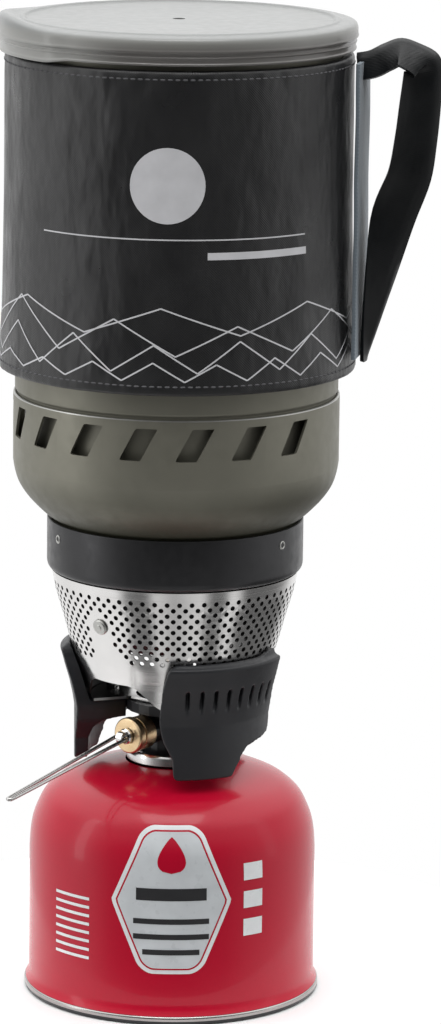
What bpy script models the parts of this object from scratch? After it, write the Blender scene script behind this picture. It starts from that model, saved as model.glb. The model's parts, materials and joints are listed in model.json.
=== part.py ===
"""Canister stove with an insulated pot, modelled as separate pieces at real size.

World frame: origin on the floor at the centre of the gas canister, +Z up, the front towards -Y.
Sizes below are in millimetres, and angles in degrees. Heights are counted from a datum FLOOR below
the floor, and the whole model is lowered by that at the end.
An azimuth is measured from the front (-Y) and grows towards +X.
"""

import math

import bmesh
import bpy
from mathutils import Matrix, Vector

MM = 0.001

# Facets round a turned piece.
LARGE_ROUND = 32
SMALL_ROUND = 24
WING_ROUND = 60
TINY_ROUND = 12

# Clear space between two pieces that touch on the real object.
GAP = 0.35

# Canister: 110 mm across its rolled seam, with a threaded neck of 7/16 inch.
FLOOR = 1.35
SEAM_RADIUS = 55.0
CANISTER_RADIUS = 53.2
NECK_RADIUS = 5.55
NECK_TOP = 95.0

# Legs and the control valve.
LEG_AZIMUTHS = (32.5, -113.5, 141.0)
LEG_SPREADS = (1.0, -1.0, 0.46)
GRIP_GROOVES = 8
VALVE_AZIMUTH = -40.5
VALVE_HEIGHT = 101.3
WIRE_PIVOT = 28.7
WIRE_DROOP = 10.7
WIRE_LENGTH = 62.0
WIRE_RADIUS = 0.7

# Burner.
BASE_PLATE_TOP = 113.0
SHELL_TOP = 160.9
COLLAR_RADIUS = 47.2
COLLAR_TOP = 180.5
DIMPLE_AZIMUTH = 56.0
SHELL_GAP_AZIMUTHS = (-43.0, 86.0, 193.0)
RIVET_AZIMUTH = -40.0

# Pot.
SHROUD_RADIUS = 59.8
SHROUD_TOP = 227.0
SLOT_COUNT = 16
SLOT_FIRST = 46.0
SLOT_PITCH = 19.55
SLOT_BOTTOM = 212.0
SLOT_TOP = 223.9
SLOT_WIDTH = 7.9
SLOT_LEAN = 6.3
FIN_COUNT = 44
FIN_TOP = 205.1
FIN_BOTTOM = 191.5
VESSEL_RADIUS = 59.2
VESSEL_BEAD = 61.3
COSY_BOTTOM = 236.8
COSY_TOP = 352.0
LID_RADIUS = 64.4
LID_BOTTOM = 353.6
LID_TOP = 364.3
LID_STEP = 358.2
STEAM_HOLE_RADIUS = 2.3
SPOUT_AZIMUTH = -80.0
SPOUT_HALF_ANGLE = 38.0
SPOUT_REACH = 1.6
SPOUT_RISE = 1.5
SPOUT_DIP = 0.9

# Strap handle.
HANDLE_AZIMUTH = 79.0
HANDLE_HINGE = 72.8
STRIP_FACE = 68.0
STRIP_WIDTH = 24.0
LEG_STRAP_THICKNESS = 6.0
STRUT_WIDTH = 22.0


# ---------------------------------------------------------------- scene and collections


def clear_scene():
    for old in list(bpy.data.objects):
        bpy.data.objects.remove(old, do_unlink=True)


def new_collection(name):
    made = bpy.data.collections.new(name)
    bpy.context.scene.collection.children.link(made)
    return made


clear_scene()
PARTS = new_collection("canister_stove")
CUTTERS = new_collection("cutters")


# ---------------------------------------------------------------- materials


def material(name, colour, roughness, metallic):
    made = bpy.data.materials.new(name)
    made.use_nodes = True
    shader = made.node_tree.nodes["Principled BSDF"]
    shader.inputs["Base Color"].default_value = (*colour, 1.0)
    shader.inputs["Roughness"].default_value = roughness
    shader.inputs["Metallic"].default_value = metallic
    made.diffuse_color = (*colour, 1.0)
    return made


CRIMSON = material("crimson_paint", (0.62, 0.02, 0.06), 0.25, 0.0)
TINPLATE = material("tinplate", (0.62, 0.62, 0.64), 0.3, 1.0)
STAINLESS = material("stainless_steel", (0.72, 0.72, 0.73), 0.22, 1.0)
BRASS = material("brass", (0.78, 0.57, 0.28), 0.25, 1.0)
DARK_STEEL = material("dark_steel", (0.07, 0.07, 0.08), 0.4, 0.8)
DARK_PLASTIC = material("dark_plastic", (0.03, 0.03, 0.035), 0.5, 0.0)
WHITE_PLASTIC = material("white_plastic", (0.75, 0.74, 0.7), 0.45, 0.0)
RUBBER = material("black_rubber", (0.02, 0.02, 0.02), 0.7, 0.0)
OLIVE_ALUMINIUM = material("olive_anodised_aluminium", (0.16, 0.155, 0.125), 0.5, 0.8)
ALUMINIUM = material("aluminium", (0.6, 0.6, 0.6), 0.35, 1.0)
FROSTED_PLASTIC = material("frosted_plastic", (0.45, 0.47, 0.45), 0.4, 0.0)
BLACK_FABRIC = material("black_fabric", (0.02, 0.02, 0.025), 0.8, 0.0)
GREY_WEBBING = material("grey_webbing", (0.16, 0.18, 0.2), 0.8, 0.0)
MESH_METAL = material("radiant_mesh", (0.3, 0.29, 0.28), 0.6, 0.9)


# ---------------------------------------------------------------- small helpers


def direction(azimuth):
    """Unit vector of an azimuth, in the floor plane."""
    angle = math.radians(azimuth)
    return Vector((math.sin(angle), -math.cos(angle), 0.0))


def axis_frame(azimuth, distance=0.0, height=0.0):
    """Local Z points outwards along the azimuth, local Y up, local X sideways."""
    outward = direction(azimuth)
    sideways = Vector((0, 0, 1)).cross(outward)
    turn = Matrix((sideways, (0, 0, 1), outward)).transposed().to_4x4()
    place = outward * distance + Vector((0, 0, height))
    return Matrix.Translation(place * MM) @ turn


def link(obj, look, collection=PARTS):
    collection.objects.link(obj)
    if look is not None:
        obj.data.materials.append(look)
    return obj


def smooth(obj, angle=40.0):
    obj.data.shade_smooth()
    obj.data.set_sharp_from_angle(angle=math.radians(angle))
    return obj


def settle(obj):
    """Turn an object's curve or modifiers into the mesh that they make."""
    bpy.context.view_layer.update()
    depsgraph = bpy.context.evaluated_depsgraph_get()
    mesh = bpy.data.meshes.new_from_object(obj.evaluated_get(depsgraph))
    name = obj.name
    look = obj.data.materials[0] if obj.data.materials else None
    world = obj.matrix_world.copy()
    collection = obj.users_collection[0]
    bpy.data.objects.remove(obj, do_unlink=True)
    weld = bmesh.new()
    weld.from_mesh(mesh)
    bmesh.ops.remove_doubles(weld, verts=weld.verts, dist=1e-6)
    bmesh.ops.recalc_face_normals(weld, faces=weld.faces)
    weld.to_mesh(mesh)
    weld.free()
    mesh.materials.clear()
    made = bpy.data.objects.new(name, mesh)
    made.matrix_world = world
    return link(made, look, collection)


def combine(obj, other, operation):
    """Boolean of two meshes; the second becomes a hidden cutter."""
    modifier = obj.modifiers.new(operation.lower(), "BOOLEAN")
    modifier.operation = operation
    modifier.solver = "EXACT"
    modifier.object = other
    for collection in list(other.users_collection):
        collection.objects.unlink(other)
    CUTTERS.objects.link(other)
    other.hide_render = True
    other.display_type = "WIRE"
    return smooth(settle(obj))


def from_profile(name, points, look, facets=LARGE_ROUND, closed=True, frame=Matrix.Identity(4)):
    """A turned shape: (radius, height) points, running down the outer side."""
    mesh = bpy.data.meshes.new(name)
    corners = [(r * MM, 0.0, z * MM) for r, z in points]
    edges = [(i, i + 1) for i in range(len(corners) - 1)]
    if closed:
        edges.append((len(corners) - 1, 0))
    mesh.from_pydata(corners, edges, [])
    obj = link(bpy.data.objects.new(name, mesh), look)
    screw = obj.modifiers.new("turn", "SCREW")
    screw.axis = "Z"
    screw.steps = facets
    screw.render_steps = facets
    screw.use_merge_vertices = True
    screw.merge_threshold = 1e-6
    screw.use_smooth_shade = True
    obj.matrix_world = frame
    return smooth(settle(obj))


def solid_turned(name, points, look, facets=LARGE_ROUND, frame=Matrix.Identity(4)):
    """A turned shape whose profile starts and ends on the axis."""
    return from_profile(name, points, look, facets, False, frame)


def ring(name, major, minor, height, look, frame=Matrix.Identity(4), facets=SMALL_ROUND, sides=10):
    """A torus about local Z."""
    turns = [-math.tau * i / sides for i in range(sides)]
    points = [(major + minor * math.cos(a), height + minor * math.sin(a)) for a in turns]
    return from_profile(name, points, look, facets, True, frame)


def rod(name, radius, start, end, look, facets=SMALL_ROUND, frame=Matrix.Identity(4)):
    """A cylinder about local Z from start to end."""
    points = [(0, end), (radius, end), (radius, start), (0, start)]
    return solid_turned(name, points, look, facets, frame)


def tube(name, outer, inner, start, end, look, facets=SMALL_ROUND, frame=Matrix.Identity(4)):
    """A round sleeve about local Z from start to end."""
    points = [(outer, end), (outer, start), (inner, start), (inner, end)]
    return from_profile(name, points, look, facets, True, frame)


def block(name, size, centre, look, frame=Matrix.Identity(4)):
    """A box of the given size in a frame."""
    mesh = bpy.data.meshes.new(name)
    cube = bmesh.new()
    bmesh.ops.create_cube(cube, size=1.0)
    bmesh.ops.scale(cube, verts=cube.verts, vec=[side * MM for side in size])
    bmesh.ops.translate(cube, verts=cube.verts, vec=[c * MM for c in centre])
    cube.to_mesh(mesh)
    cube.free()
    obj = link(bpy.data.objects.new(name, mesh), look)
    obj.matrix_world = frame
    return obj


def plate(name, outline, thickness, look, frame=Matrix.Identity(4)):
    """A flat outline in the local XY plane, thickened equally to both sides."""
    curve = bpy.data.curves.new(name, "CURVE")
    curve.dimensions = "2D"
    curve.fill_mode = "BOTH"
    curve.extrude = thickness * MM / 2
    spline = curve.splines.new("POLY")
    spline.points.add(len(outline) - 1)
    for point, (x, y) in zip(spline.points, outline):
        point.co = (x * MM, y * MM, 0.0, 1.0)
    spline.use_cyclic_u = True
    obj = link(bpy.data.objects.new(name, curve), look)
    obj.matrix_world = frame
    return settle(obj)


def wire(name, points, radius, look, frame=Matrix.Identity(4)):
    """A round wire along the given points, with closed ends."""
    curve = bpy.data.curves.new(name, "CURVE")
    curve.dimensions = "3D"
    curve.bevel_depth = radius * MM
    curve.bevel_resolution = 2
    curve.use_fill_caps = True
    spline = curve.splines.new("POLY")
    spline.points.add(len(points) - 1)
    for point, place in zip(spline.points, points):
        point.co = (*(c * MM for c in place), 1.0)
    obj = link(bpy.data.objects.new(name, curve), look)
    obj.matrix_world = frame
    return smooth(settle(obj))


def coil(name, radius, wire_radius, start, end, turns, look, per_turn=8):
    """A compression spring about the world Z axis."""
    points = []
    steps = round(turns * per_turn)
    for i in range(steps + 1):
        angle = math.tau * i / per_turn
        share = i / steps
        height = start + wire_radius + share * (end - start - 2 * wire_radius)
        points.append((radius * math.cos(angle), radius * math.sin(angle), height))
    return wire(name, points, wire_radius, look)


def arc(centre_x, centre_y, radius, first, last, pieces):
    """Points along a circular arc, angles in degrees."""
    points = []
    for i in range(pieces + 1):
        angle = math.radians(first + (last - first) * i / pieces)
        points.append((centre_x + radius * math.cos(angle), centre_y + radius * math.sin(angle)))
    return points


def hexagon(across_flats):
    """Corners of a hexagon."""
    corner = across_flats / math.sqrt(3)
    return [(corner * math.cos(math.tau * i / 6), corner * math.sin(math.tau * i / 6)) for i in range(6)]


def move_to_axis(obj, frame):
    """Put a piece's origin and axes on a joint's frame without moving its shape."""
    obj.data.transform(frame.inverted() @ obj.matrix_world)
    obj.matrix_world = frame
    return obj


# ---------------------------------------------------------------- gas canister


def make_canister_shell():
    outer = [(17.7, 88.2), (24.0, 86.9), (31.8, 84.7), (37.5, 82.6), (42.5, 80.0), (47.4, 75.6)]
    outer += [(50.0, 71.0), (51.9, 66.0), (52.8, 61.0), (CANISTER_RADIUS, 55.0), (CANISTER_RADIUS, 8.2)]
    outer += [(53.6, 6.5), (54.3, 5.1), (53.3, 4.9), (52.6, 6.5), (52.2, 8.4)]
    inner = [(52.2, 55.0), (50.9, 65.7), (46.7, 74.6), (42.0, 78.9), (31.5, 83.6), (17.7, 87.1)]
    return from_profile("canister_shell", outer + inner, CRIMSON)


def make_canister_base():
    upper = [(0.0, 12.8), (20.0, 12.0), (36.0, 9.6), (47.0, 5.2), (51.0, 4.4), (52.0, 4.55)]
    seam = [(54.1, 4.55), (SEAM_RADIUS, 3.8), (SEAM_RADIUS, 2.2), (54.3, FLOOR), (52.4, FLOOR), (51.6, 2.1)]
    lower = [(50.8, 3.4), (47.0, 4.2), (36.0, 8.6), (20.0, 11.0), (0.0, 11.8)]
    return solid_turned("canister_base", upper + seam + lower, TINPLATE)


def make_valve_cup():
    top = [(2.4, NECK_TOP), (5.1, NECK_TOP), (NECK_RADIUS, 94.5), (NECK_RADIUS, 87.0), (6.0, 86.6)]
    curl = [(14.2, 86.6), (14.6, 92.2), (15.4, 92.9), (16.3, 92.9), (17.2, 91.8), (17.2, 89.0)]
    under = [(16.1, 88.7), (15.3, 85.6), (6.3, 85.6), (4.6, 86.2), (4.6, 94.0), (2.4, 94.0)]
    return from_profile("valve_cup", top + curl + under, TINPLATE, SMALL_ROUND)


def make_canister_valve():
    housing = [(4.2, 92.0), (4.2, 76.0), (0.9, 76.0), (0.9, 78.0), (2.9, 78.0), (2.9, 92.0)]
    from_profile("canister_valve_housing", housing, WHITE_PLASTIC, TINY_ROUND)
    tube("canister_valve_gasket", 4.2, 1.65, 92.3, 93.7, RUBBER, TINY_ROUND)
    stem = [(0, 92.0), (1.3, 92.0), (1.3, 86.0), (2.4, 86.0), (2.4, 84.0), (1.2, 84.0), (1.2, 82.0), (0, 82.0)]
    solid_turned("canister_valve_stem", stem, BRASS, TINY_ROUND)
    coil("canister_valve_spring", 2.1, 0.35, 78.3, 83.7, 3, STAINLESS)


# ---------------------------------------------------------------- connector and regulator


def make_connector():
    outer = [(1.3, 98.0), (11.0, 98.0), (11.5, 97.5), (11.5, 88.2), (11.0, 87.7)]
    bore = [(6.4, 87.7), (5.9, 88.2), (5.9, 96.9), (1.3, 96.9)]
    from_profile("canister_connector", outer + bore, DARK_STEEL, SMALL_ROUND)
    ring("connector_o_ring", 3.6, 0.65, 95.95, RUBBER, facets=TINY_ROUND, sides=8)
    pin = [(0, 97.8), (0.9, 97.8), (0.9, 92.3), (0, 92.3)]
    solid_turned("depressor_pin", pin, BRASS, 12)


def make_regulator_body():
    cup = [(13.0, 110.4), (13.0, 98.3), (1.2, 98.3), (1.2, 105.2), (10.2, 105.2), (10.2, 110.4)]
    body = from_profile("regulator_body", cup, DARK_STEEL, SMALL_ROUND)
    frame = axis_frame(VALVE_AZIMUTH, 0.0, VALVE_HEIGHT)
    boss = rod("valve_boss", 5.2, 11.9, 15.5, None, SMALL_ROUND, frame)
    body = combine(body, boss, "UNION")
    bore = rod("valve_bore", 3.2, 3.5, 20.0, None, TINY_ROUND, frame)
    return combine(body, bore, "DIFFERENCE")


def make_regulator_insides():
    tube("regulator_diaphragm", 9.85, 0.75, 107.9, 108.3, RUBBER)
    piston = [(0, 108.9), (2.4, 108.9), (2.4, 108.6), (0.4, 108.6), (0.4, 107.5), (2.4, 107.5)]
    piston += [(2.4, 106.6), (0.7, 106.6), (0.7, 104.4), (0, 104.4)]
    solid_turned("regulator_piston", piston, BRASS, TINY_ROUND)
    coil("regulator_spring", 4.6, 0.3, 108.6, 110.4, 1.5, STAINLESS)
    cap = [(1.4, 113.4), (11.2, 113.4), (12.6, 112.6), (12.6, 110.75), (1.4, 110.75)]
    from_profile("regulator_cap", cap, DARK_STEEL, SMALL_ROUND)


def make_fuel_jet():
    frame = Matrix.Translation((0, 0, 115.0 * MM))
    nut = plate("fuel_jet", hexagon(5.5), 2.6, BRASS, frame)
    nose = [(0, 119.4), (0.9, 119.4), (1.6, 118.0), (1.6, 114.6), (0, 114.6)]
    nut = combine(nut, solid_turned("jet_nose", nose, None, TINY_ROUND), "UNION")
    return combine(nut, rod("jet_orifice", 0.35, 112.0, 121.0, None, 8), "DIFFERENCE")


# ---------------------------------------------------------------- control valve and wire handle


def make_control_valve():
    frame = axis_frame(VALVE_AZIMUTH, 0.0, VALVE_HEIGHT)
    spindle = [(0, 25.3), (1.6, 25.3), (1.6, 11.0), (2.7, 11.0), (2.7, 6.4), (1.4, 6.4), (1.4, 5.4), (0, 3.9)]
    solid_turned("needle_spindle", spindle, BRASS, TINY_ROUND, frame)
    ring("spindle_o_ring", 2.4, 0.5, 13.4, RUBBER, frame, TINY_ROUND, 8)
    nut = plate("packing_nut", hexagon(8.6), 2.4, BRASS, frame @ Matrix.Translation((0, 0, 17.1 * MM)))
    combine(nut, rod("nut_bore", 1.95, 10.0, 25.0, None, TINY_ROUND, frame), "DIFFERENCE")
    rear = [(5.6, 21.7), (6.2, 21.5), (6.2, 16.4), (5.9, 16.1), (5.3, 16.1), (5.3, 18.7), (1.95, 18.7)]
    front = [(1.95, 25.7), (6.2, 25.7), (6.7, 25.2), (6.7, 22.9), (6.4, 22.5), (5.6, 22.3)]
    from_profile("control_knob", front + rear, BRASS, SMALL_ROUND, True, frame)


def make_handle_yoke():
    frame = axis_frame(VALVE_AZIMUTH, 0.0, VALVE_HEIGHT)
    disc = [(0, 27.4), (2.6, 27.4), (3.0, 27.0), (3.0, 26.05), (0, 26.05)]
    yoke = solid_turned("handle_yoke", disc, STAINLESS, TINY_ROUND, frame)
    outline = [(-2.3, -2.1)] + arc(0.0, 0.0, 2.1, -90, 90, 6) + [(-2.3, 2.1)]
    side = frame @ Matrix.Translation((0, 0, WIRE_PIVOT * MM)) @ Matrix.Rotation(math.radians(-90), 4, "Y")
    tongue = plate("yoke_tongue", outline, 2.8, None, side)
    yoke = combine(yoke, tongue, "UNION")
    hole = rod("yoke_hole", 1.05, -4.0, 4.0, None, TINY_ROUND, wire_frame())
    return combine(yoke, hole, "DIFFERENCE")


def wire_frame():
    """At the wire's pivot, local Z along the pivot, local X up."""
    frame = axis_frame(VALVE_AZIMUTH, WIRE_PIVOT, VALVE_HEIGHT)
    return frame @ Matrix.Rotation(math.radians(90), 4, "Y")


def make_wire_handle():
    """A hairpin whose two ends turn in to form the pivot."""
    half = [(0.0, 0.95), (0.0, 1.7)]
    half += [(x, y) for x, y in arc(0.9, 1.7, 0.9, 180, 90, 3)][1:]
    half += [(WIRE_LENGTH * share, 2.6 - 1.75 * share) for share in (0.25, 0.5, 0.75, 0.95)]
    tip = arc(WIRE_LENGTH - 0.85, 0.0, 0.85, 60, -60, 4)
    path = half + tip + [(x, -y) for x, y in reversed(half)]
    frame = axis_frame(VALVE_AZIMUTH, WIRE_PIVOT, VALVE_HEIGHT)
    droop = Matrix.Rotation(math.radians(WIRE_DROOP), 4, "X")
    points = [(y, 0.0, x) for x, y in path]
    return wire("wire_handle", points, WIRE_RADIUS, STAINLESS, frame @ droop)


# ---------------------------------------------------------------- legs and base plate


def leg_outline():
    """Outer edge of a wing leg, as azimuth from the leg's centre and height."""
    bottom = [(-31.0, 89.0), (4.0, 89.0), (6.5, 91.5), (11.2, 96.4), (15.2, 99.1), (22.8, 100.3)]
    right = [(32.4, 101.2), (38.0, 102.0), (40.5, 103.8), (40.8, 113.3), (38.5, 119.9), (37.0, 129.0)]
    top = [(35.5, 133.2), (31.0, 134.6), (22.0, 132.8), (-31.5, 132.8)]
    left = [(-34.0, 131.8), (-36.4, 128.6), (-39.4, 115.8), (-40.0, 110.0), (-38.5, 105.1)]
    return bottom + right + top + left


def leg_shell_profile():
    """Cross-section of the wing: upright below, flared above, a thin upstand on top, a web to the hub."""
    outer = [(40.2, 135.2), (40.2, 132.2), (41.2, 131.6), (42.0, 131.2), (41.9, 129.6), (40.6, 125.0)]
    outer += [(38.8, 119.0), (37.4, 113.0), (36.9, 109.0), (36.8, 88.0)]
    inner = [(32.0, 88.0), (31.6, 97.0), (30.0, 101.2), (27.0, 103.6), (22.0, 104.6), (18.1, 105.0)]
    inner += [(18.1, 111.6), (31.9, 111.6), (32.4, 113.0), (34.2, 119.0), (36.0, 125.0), (37.9, 130.5)]
    inner += [(39.2, 135.2)]
    return outer + inner


def make_leg(number):
    """A wing: an outline cut from a turned shell with its web, and grip grooves."""
    azimuth = LEG_AZIMUTHS[number - 1]
    spread = LEG_SPREADS[number - 1]
    name = f"wing_leg_{number}"
    leg = from_profile(name, leg_shell_profile(), DARK_PLASTIC, WING_ROUND)
    leg = combine(leg, outline_wedge(f"{name}_outline", azimuth, spread), "INTERSECT")
    leg = combine(leg, groove_cutters(f"{name}_grooves", azimuth, spread), "DIFFERENCE")
    hole = rod(f"{name}_hole", 1.55, 107.5, 115.0, None, 12, screw_place(azimuth))
    return combine(leg, hole, "DIFFERENCE")


def outline_wedge(name, azimuth, spread):
    """The wing's outline as a solid whose upright sides all point at the axis; a minus mirrors it."""
    middle = 30.0
    outline = [(middle * math.tan(math.radians(spread * a)), z) for a, z in leg_outline()]
    wedge = plate(name, outline, 50.0, None, axis_frame(azimuth, middle, 0.0))
    for vertex in wedge.data.vertices:
        vertex.co.x *= 1.0 + vertex.co.z / (middle * MM)
    return wedge


def groove_cutters(name, azimuth, spread):
    """Upright grip grooves, which follow the wing's curve."""
    shape = bmesh.new()
    pitch = 7.9
    for i in range(round(GRIP_GROOVES * abs(spread))):
        angle = azimuth + 31.0 * spread - math.copysign(pitch, spread) * i
        before = len(shape.verts)
        bmesh.ops.create_cube(shape, size=1.0)
        shape.verts.ensure_lookup_table()
        fresh = shape.verts[before:]
        bmesh.ops.scale(shape, verts=fresh, vec=(1.2 * MM, 16.0 * MM, 3.0 * MM))
        lean = Matrix.Rotation(math.radians(-12.0), 4, "X")
        frame = axis_frame(angle, 38.8, 114.5) @ lean
        bmesh.ops.transform(shape, verts=fresh, matrix=frame)
    mesh = bpy.data.meshes.new(name)
    shape.to_mesh(mesh)
    shape.free()
    return link(bpy.data.objects.new(name, mesh), None)


def screw_place(azimuth):
    return Matrix.Translation(direction(azimuth) * 25.0 * MM)


def make_leg_screw(number):
    azimuth = LEG_AZIMUTHS[number - 1]
    head = [(0, 115.0), (1.6, 115.0), (2.3, 114.3), (2.3, 113.3), (1.2, 113.3), (1.2, 108.0), (0, 108.0)]
    return solid_turned(f"leg_screw_{number}", head, STAINLESS, 12, screw_place(azimuth))


def make_leg_hub():
    tube("leg_hub", 17.8, 13.3, 107.9, 111.6, DARK_PLASTIC, SMALL_ROUND)


def on_floor(azimuth, radius):
    point = direction(azimuth) * radius
    return (point.x, point.y)


def make_base_plate():
    """The burner's floor, cut away over the valve."""
    base = tube("burner_base_plate", 31.2, 14.0, BASE_PLATE_TOP - 1.0, BASE_PLATE_TOP, STAINLESS)
    corners = [(on_floor(-71.0, 16.5)), (on_floor(-71.0, 60.0)), (on_floor(-8.5, 60.0)), (on_floor(-8.5, 16.5))]
    window = plate("plate_window", corners, 10.0, None, Matrix.Translation((0, 0, BASE_PLATE_TOP * MM)))
    base = combine(base, window, "DIFFERENCE")
    for number, azimuth in enumerate(LEG_AZIMUTHS):
        hole = rod(f"plate_hole_{number}", 1.55, 110.0, 115.0, None, 12, screw_place(azimuth))
        base = combine(base, hole, "DIFFERENCE")
    return base


# ---------------------------------------------------------------- burner


def make_mixing_tube():
    outer = [(9.0, 132.0), (7.2, 126.0), (7.2, 121.0), (9.5, 117.5)]
    inner = [(8.8, 117.2), (6.4, 121.0), (6.4, 126.0), (8.2, 132.4)]
    return from_profile("mixing_tube", outer + inner, STAINLESS, SMALL_ROUND)


def make_burner_cup():
    outer = [(43.8, 160.8), (43.8, 160.0), (40.6, 159.6), (38.0, 148.0), (34.0, 139.0), (29.0, 134.0)]
    outer += [(10.0, 131.0)]
    inner = [(9.6, 131.8), (28.6, 134.9), (33.2, 139.6), (37.2, 148.3), (39.9, 160.8)]
    return from_profile("burner_cup", outer + inner, DARK_STEEL, SMALL_ROUND)


def make_diffuser():
    plate_ring = rod("diffuser_plate", 36.6, 149.4, 150.2, STAINLESS, SMALL_ROUND)
    holes = bmesh.new()
    for count, radius in ((4, 11.0), (8, 25.0)):
        for i in range(count):
            angle = math.tau * i / count
            place = Vector((radius * math.cos(angle), radius * math.sin(angle), 149.8)) * MM
            bmesh.ops.create_cone(
                holes, cap_ends=True, segments=6, radius1=2.4 * MM, radius2=2.4 * MM,
                depth=6.0 * MM, matrix=Matrix.Translation(place),
            )
    mesh = bpy.data.meshes.new("diffuser_holes")
    holes.to_mesh(mesh)
    holes.free()
    return combine(plate_ring, link(bpy.data.objects.new("diffuser_holes", mesh), None), "DIFFERENCE")


def make_mesh_dome():
    upper = [(0, 168.6), (14.0, 168.1), (28.0, 166.4), (38.0, 164.2), (42.0, 163.5), (44.6, 163.5)]
    lower = [(44.6, 162.6), (41.8, 162.6), (37.8, 163.3), (27.8, 165.4), (13.9, 167.1), (0, 167.6)]
    return solid_turned("radiant_mesh_dome", upper + lower, MESH_METAL, SMALL_ROUND)


def make_perforated_shell():
    """The air-intake shell, open below between the legs."""
    outer = [(45.5, SHELL_TOP), (43.9, 153.0), (41.2, 143.9), (38.7, 134.8), (37.3, 130.3), (33.7, 122.2)]
    outer += [(31.6, BASE_PLATE_TOP + GAP)]
    inner = [(r - 0.8, z) for r, z in reversed(outer)]
    shell = from_profile("perforated_shell", outer + inner, STAINLESS)
    notch = [(-15.0, 108.0), (15.0, 108.0), (15.0, 118.0), (12.0, 122.5), (-12.0, 122.5), (-15.0, 118.0)]
    for number, azimuth in enumerate(SHELL_GAP_AZIMUTHS):
        frame = axis_frame(azimuth, 30.0, 0.0)
        cutter = plate(f"shell_notch_{number + 1}", notch, 40.0, None, frame)
        shell = combine(shell, cutter, "DIFFERENCE")
    return shell


def make_shell_rivet():
    frame = axis_frame(RIVET_AZIMUTH, 42.1, 145.5) @ Matrix.Rotation(math.radians(16.5), 4, "X")
    button = [(0, 1.2), (2.4, 1.1), (3.0, 0.7), (3.0, 0.0), (0, 0.0)]
    return solid_turned("shell_rivet", button, STAINLESS, TINY_ROUND, frame)


def make_collar():
    outer = [(COLLAR_RADIUS, COLLAR_TOP), (COLLAR_RADIUS, 163.4), (46.5, 161.9), (45.2, 161.25)]
    inner = [(43.6, 161.25), (43.6, 162.15), (45.0, 162.2), (46.0, 163.6), (46.0, COLLAR_TOP)]
    collar = from_profile("collar_ring", outer + inner, DARK_STEEL)
    for number in range(3):
        frame = axis_frame(DIMPLE_AZIMUTH + 120.0 * number, COLLAR_RADIUS - 0.5, 173.0)
        dimple = rod(f"collar_dimple_{number + 1}", 0.9, 0.0, 2.0, None, 12, frame)
        collar = combine(collar, dimple, "DIFFERENCE")
    return collar


# ---------------------------------------------------------------- pot


def make_vessel():
    inner = [(0, 206.7), (52.0, 206.7), (54.3, 209.4), (54.3, 227.9), (57.4, 228.8), (58.0, 229.8)]
    rim = [(58.0, 356.0), (58.7, 356.6), (60.3, 356.6), (61.1, 356.1), (VESSEL_BEAD, 355.2)]
    outer = [(60.9, 354.2), (VESSEL_RADIUS, 353.4), (VESSEL_RADIUS, 228.9), (58.4, 227.7), (55.5, 227.0)]
    bottom = [(55.5, 208.9), (52.6, 205.5), (0, 205.5)]
    return solid_turned("pot_vessel", inner + rim + outer + bottom, OLIVE_ALUMINIUM)


def make_fins():
    """One corrugated strip, closed into a ring under the vessel."""
    mesh = bpy.data.meshes.new("heat_exchanger_fins")
    strip = bmesh.new()
    sheet = 0.5
    columns = []
    for i in range(FIN_COUNT * 2):
        angle = math.tau * i / (FIN_COUNT * 2)
        radius = 51.8 if i % 2 else 43.6
        across = Vector((math.cos(angle), math.sin(angle), 0.0))
        corners = []
        edges = ((sheet, FIN_TOP), (sheet, FIN_BOTTOM), (-sheet, FIN_BOTTOM), (-sheet, FIN_TOP))
        for shift, height in edges:
            place = across * (radius + shift) + Vector((0, 0, height))
            corners.append(strip.verts.new(place * MM))
        columns.append(corners)
    for i, here in enumerate(columns):
        after = columns[(i + 1) % len(columns)]
        for j in range(4):
            k = (j + 1) % 4
            strip.faces.new((here[j], here[k], after[k], after[j]))
    bmesh.ops.recalc_face_normals(strip, faces=strip.faces)
    strip.to_mesh(mesh)
    strip.free()
    return link(bpy.data.objects.new("heat_exchanger_fins", mesh), ALUMINIUM)


def make_shroud():
    """Pot skirt: a slotted cylinder that curves in to a neck inside the collar."""
    outer = [(SHROUD_RADIUS, SHROUD_TOP), (SHROUD_RADIUS, 202.0), (59.1, 198.0), (57.6, 193.6)]
    outer += [(54.5, 189.0), (50.3, 184.6), (47.6, 182.2), (45.7, 181.0), (45.4, 180.2), (45.4, 166.0)]
    inner = [(44.4, 166.0), (44.4, 180.9), (46.9, 182.9), (49.6, 185.4), (53.6, 189.7), (56.6, 194.1)]
    inner += [(58.1, 198.4), (58.8, 202.2), (58.8, SHROUD_TOP)]
    shroud = from_profile("heat_exchanger_shroud", outer + inner, OLIVE_ALUMINIUM)
    return combine(shroud, slot_cutters(), "DIFFERENCE")


def slot_cutters():
    """Leaning parallelograms round the skirt, with none under the handle."""
    shape = bmesh.new()
    half = SLOT_WIDTH / 2
    lean = SLOT_LEAN / 2
    corners = [(-half - lean, SLOT_BOTTOM), (half - lean, SLOT_BOTTOM)]
    corners += [(half + lean, SLOT_TOP), (-half + lean, SLOT_TOP)]
    for i in range(SLOT_COUNT):
        frame = axis_frame(SLOT_FIRST - SLOT_PITCH * i, SHROUD_RADIUS, 0.0)
        inside = [shape.verts.new(frame @ (Vector((x, z, -3.0)) * MM)) for x, z in corners]
        outside = [shape.verts.new(frame @ (Vector((x, z, 3.0)) * MM)) for x, z in corners]
        shape.faces.new(list(reversed(inside)))
        shape.faces.new(outside)
        for j in range(4):
            k = (j + 1) % 4
            shape.faces.new((inside[j], inside[k], outside[k], outside[j]))
    mesh = bpy.data.meshes.new("slot_cutters")
    shape.to_mesh(mesh)
    shape.free()
    return link(bpy.data.objects.new("slot_cutters", mesh), None)


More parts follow.
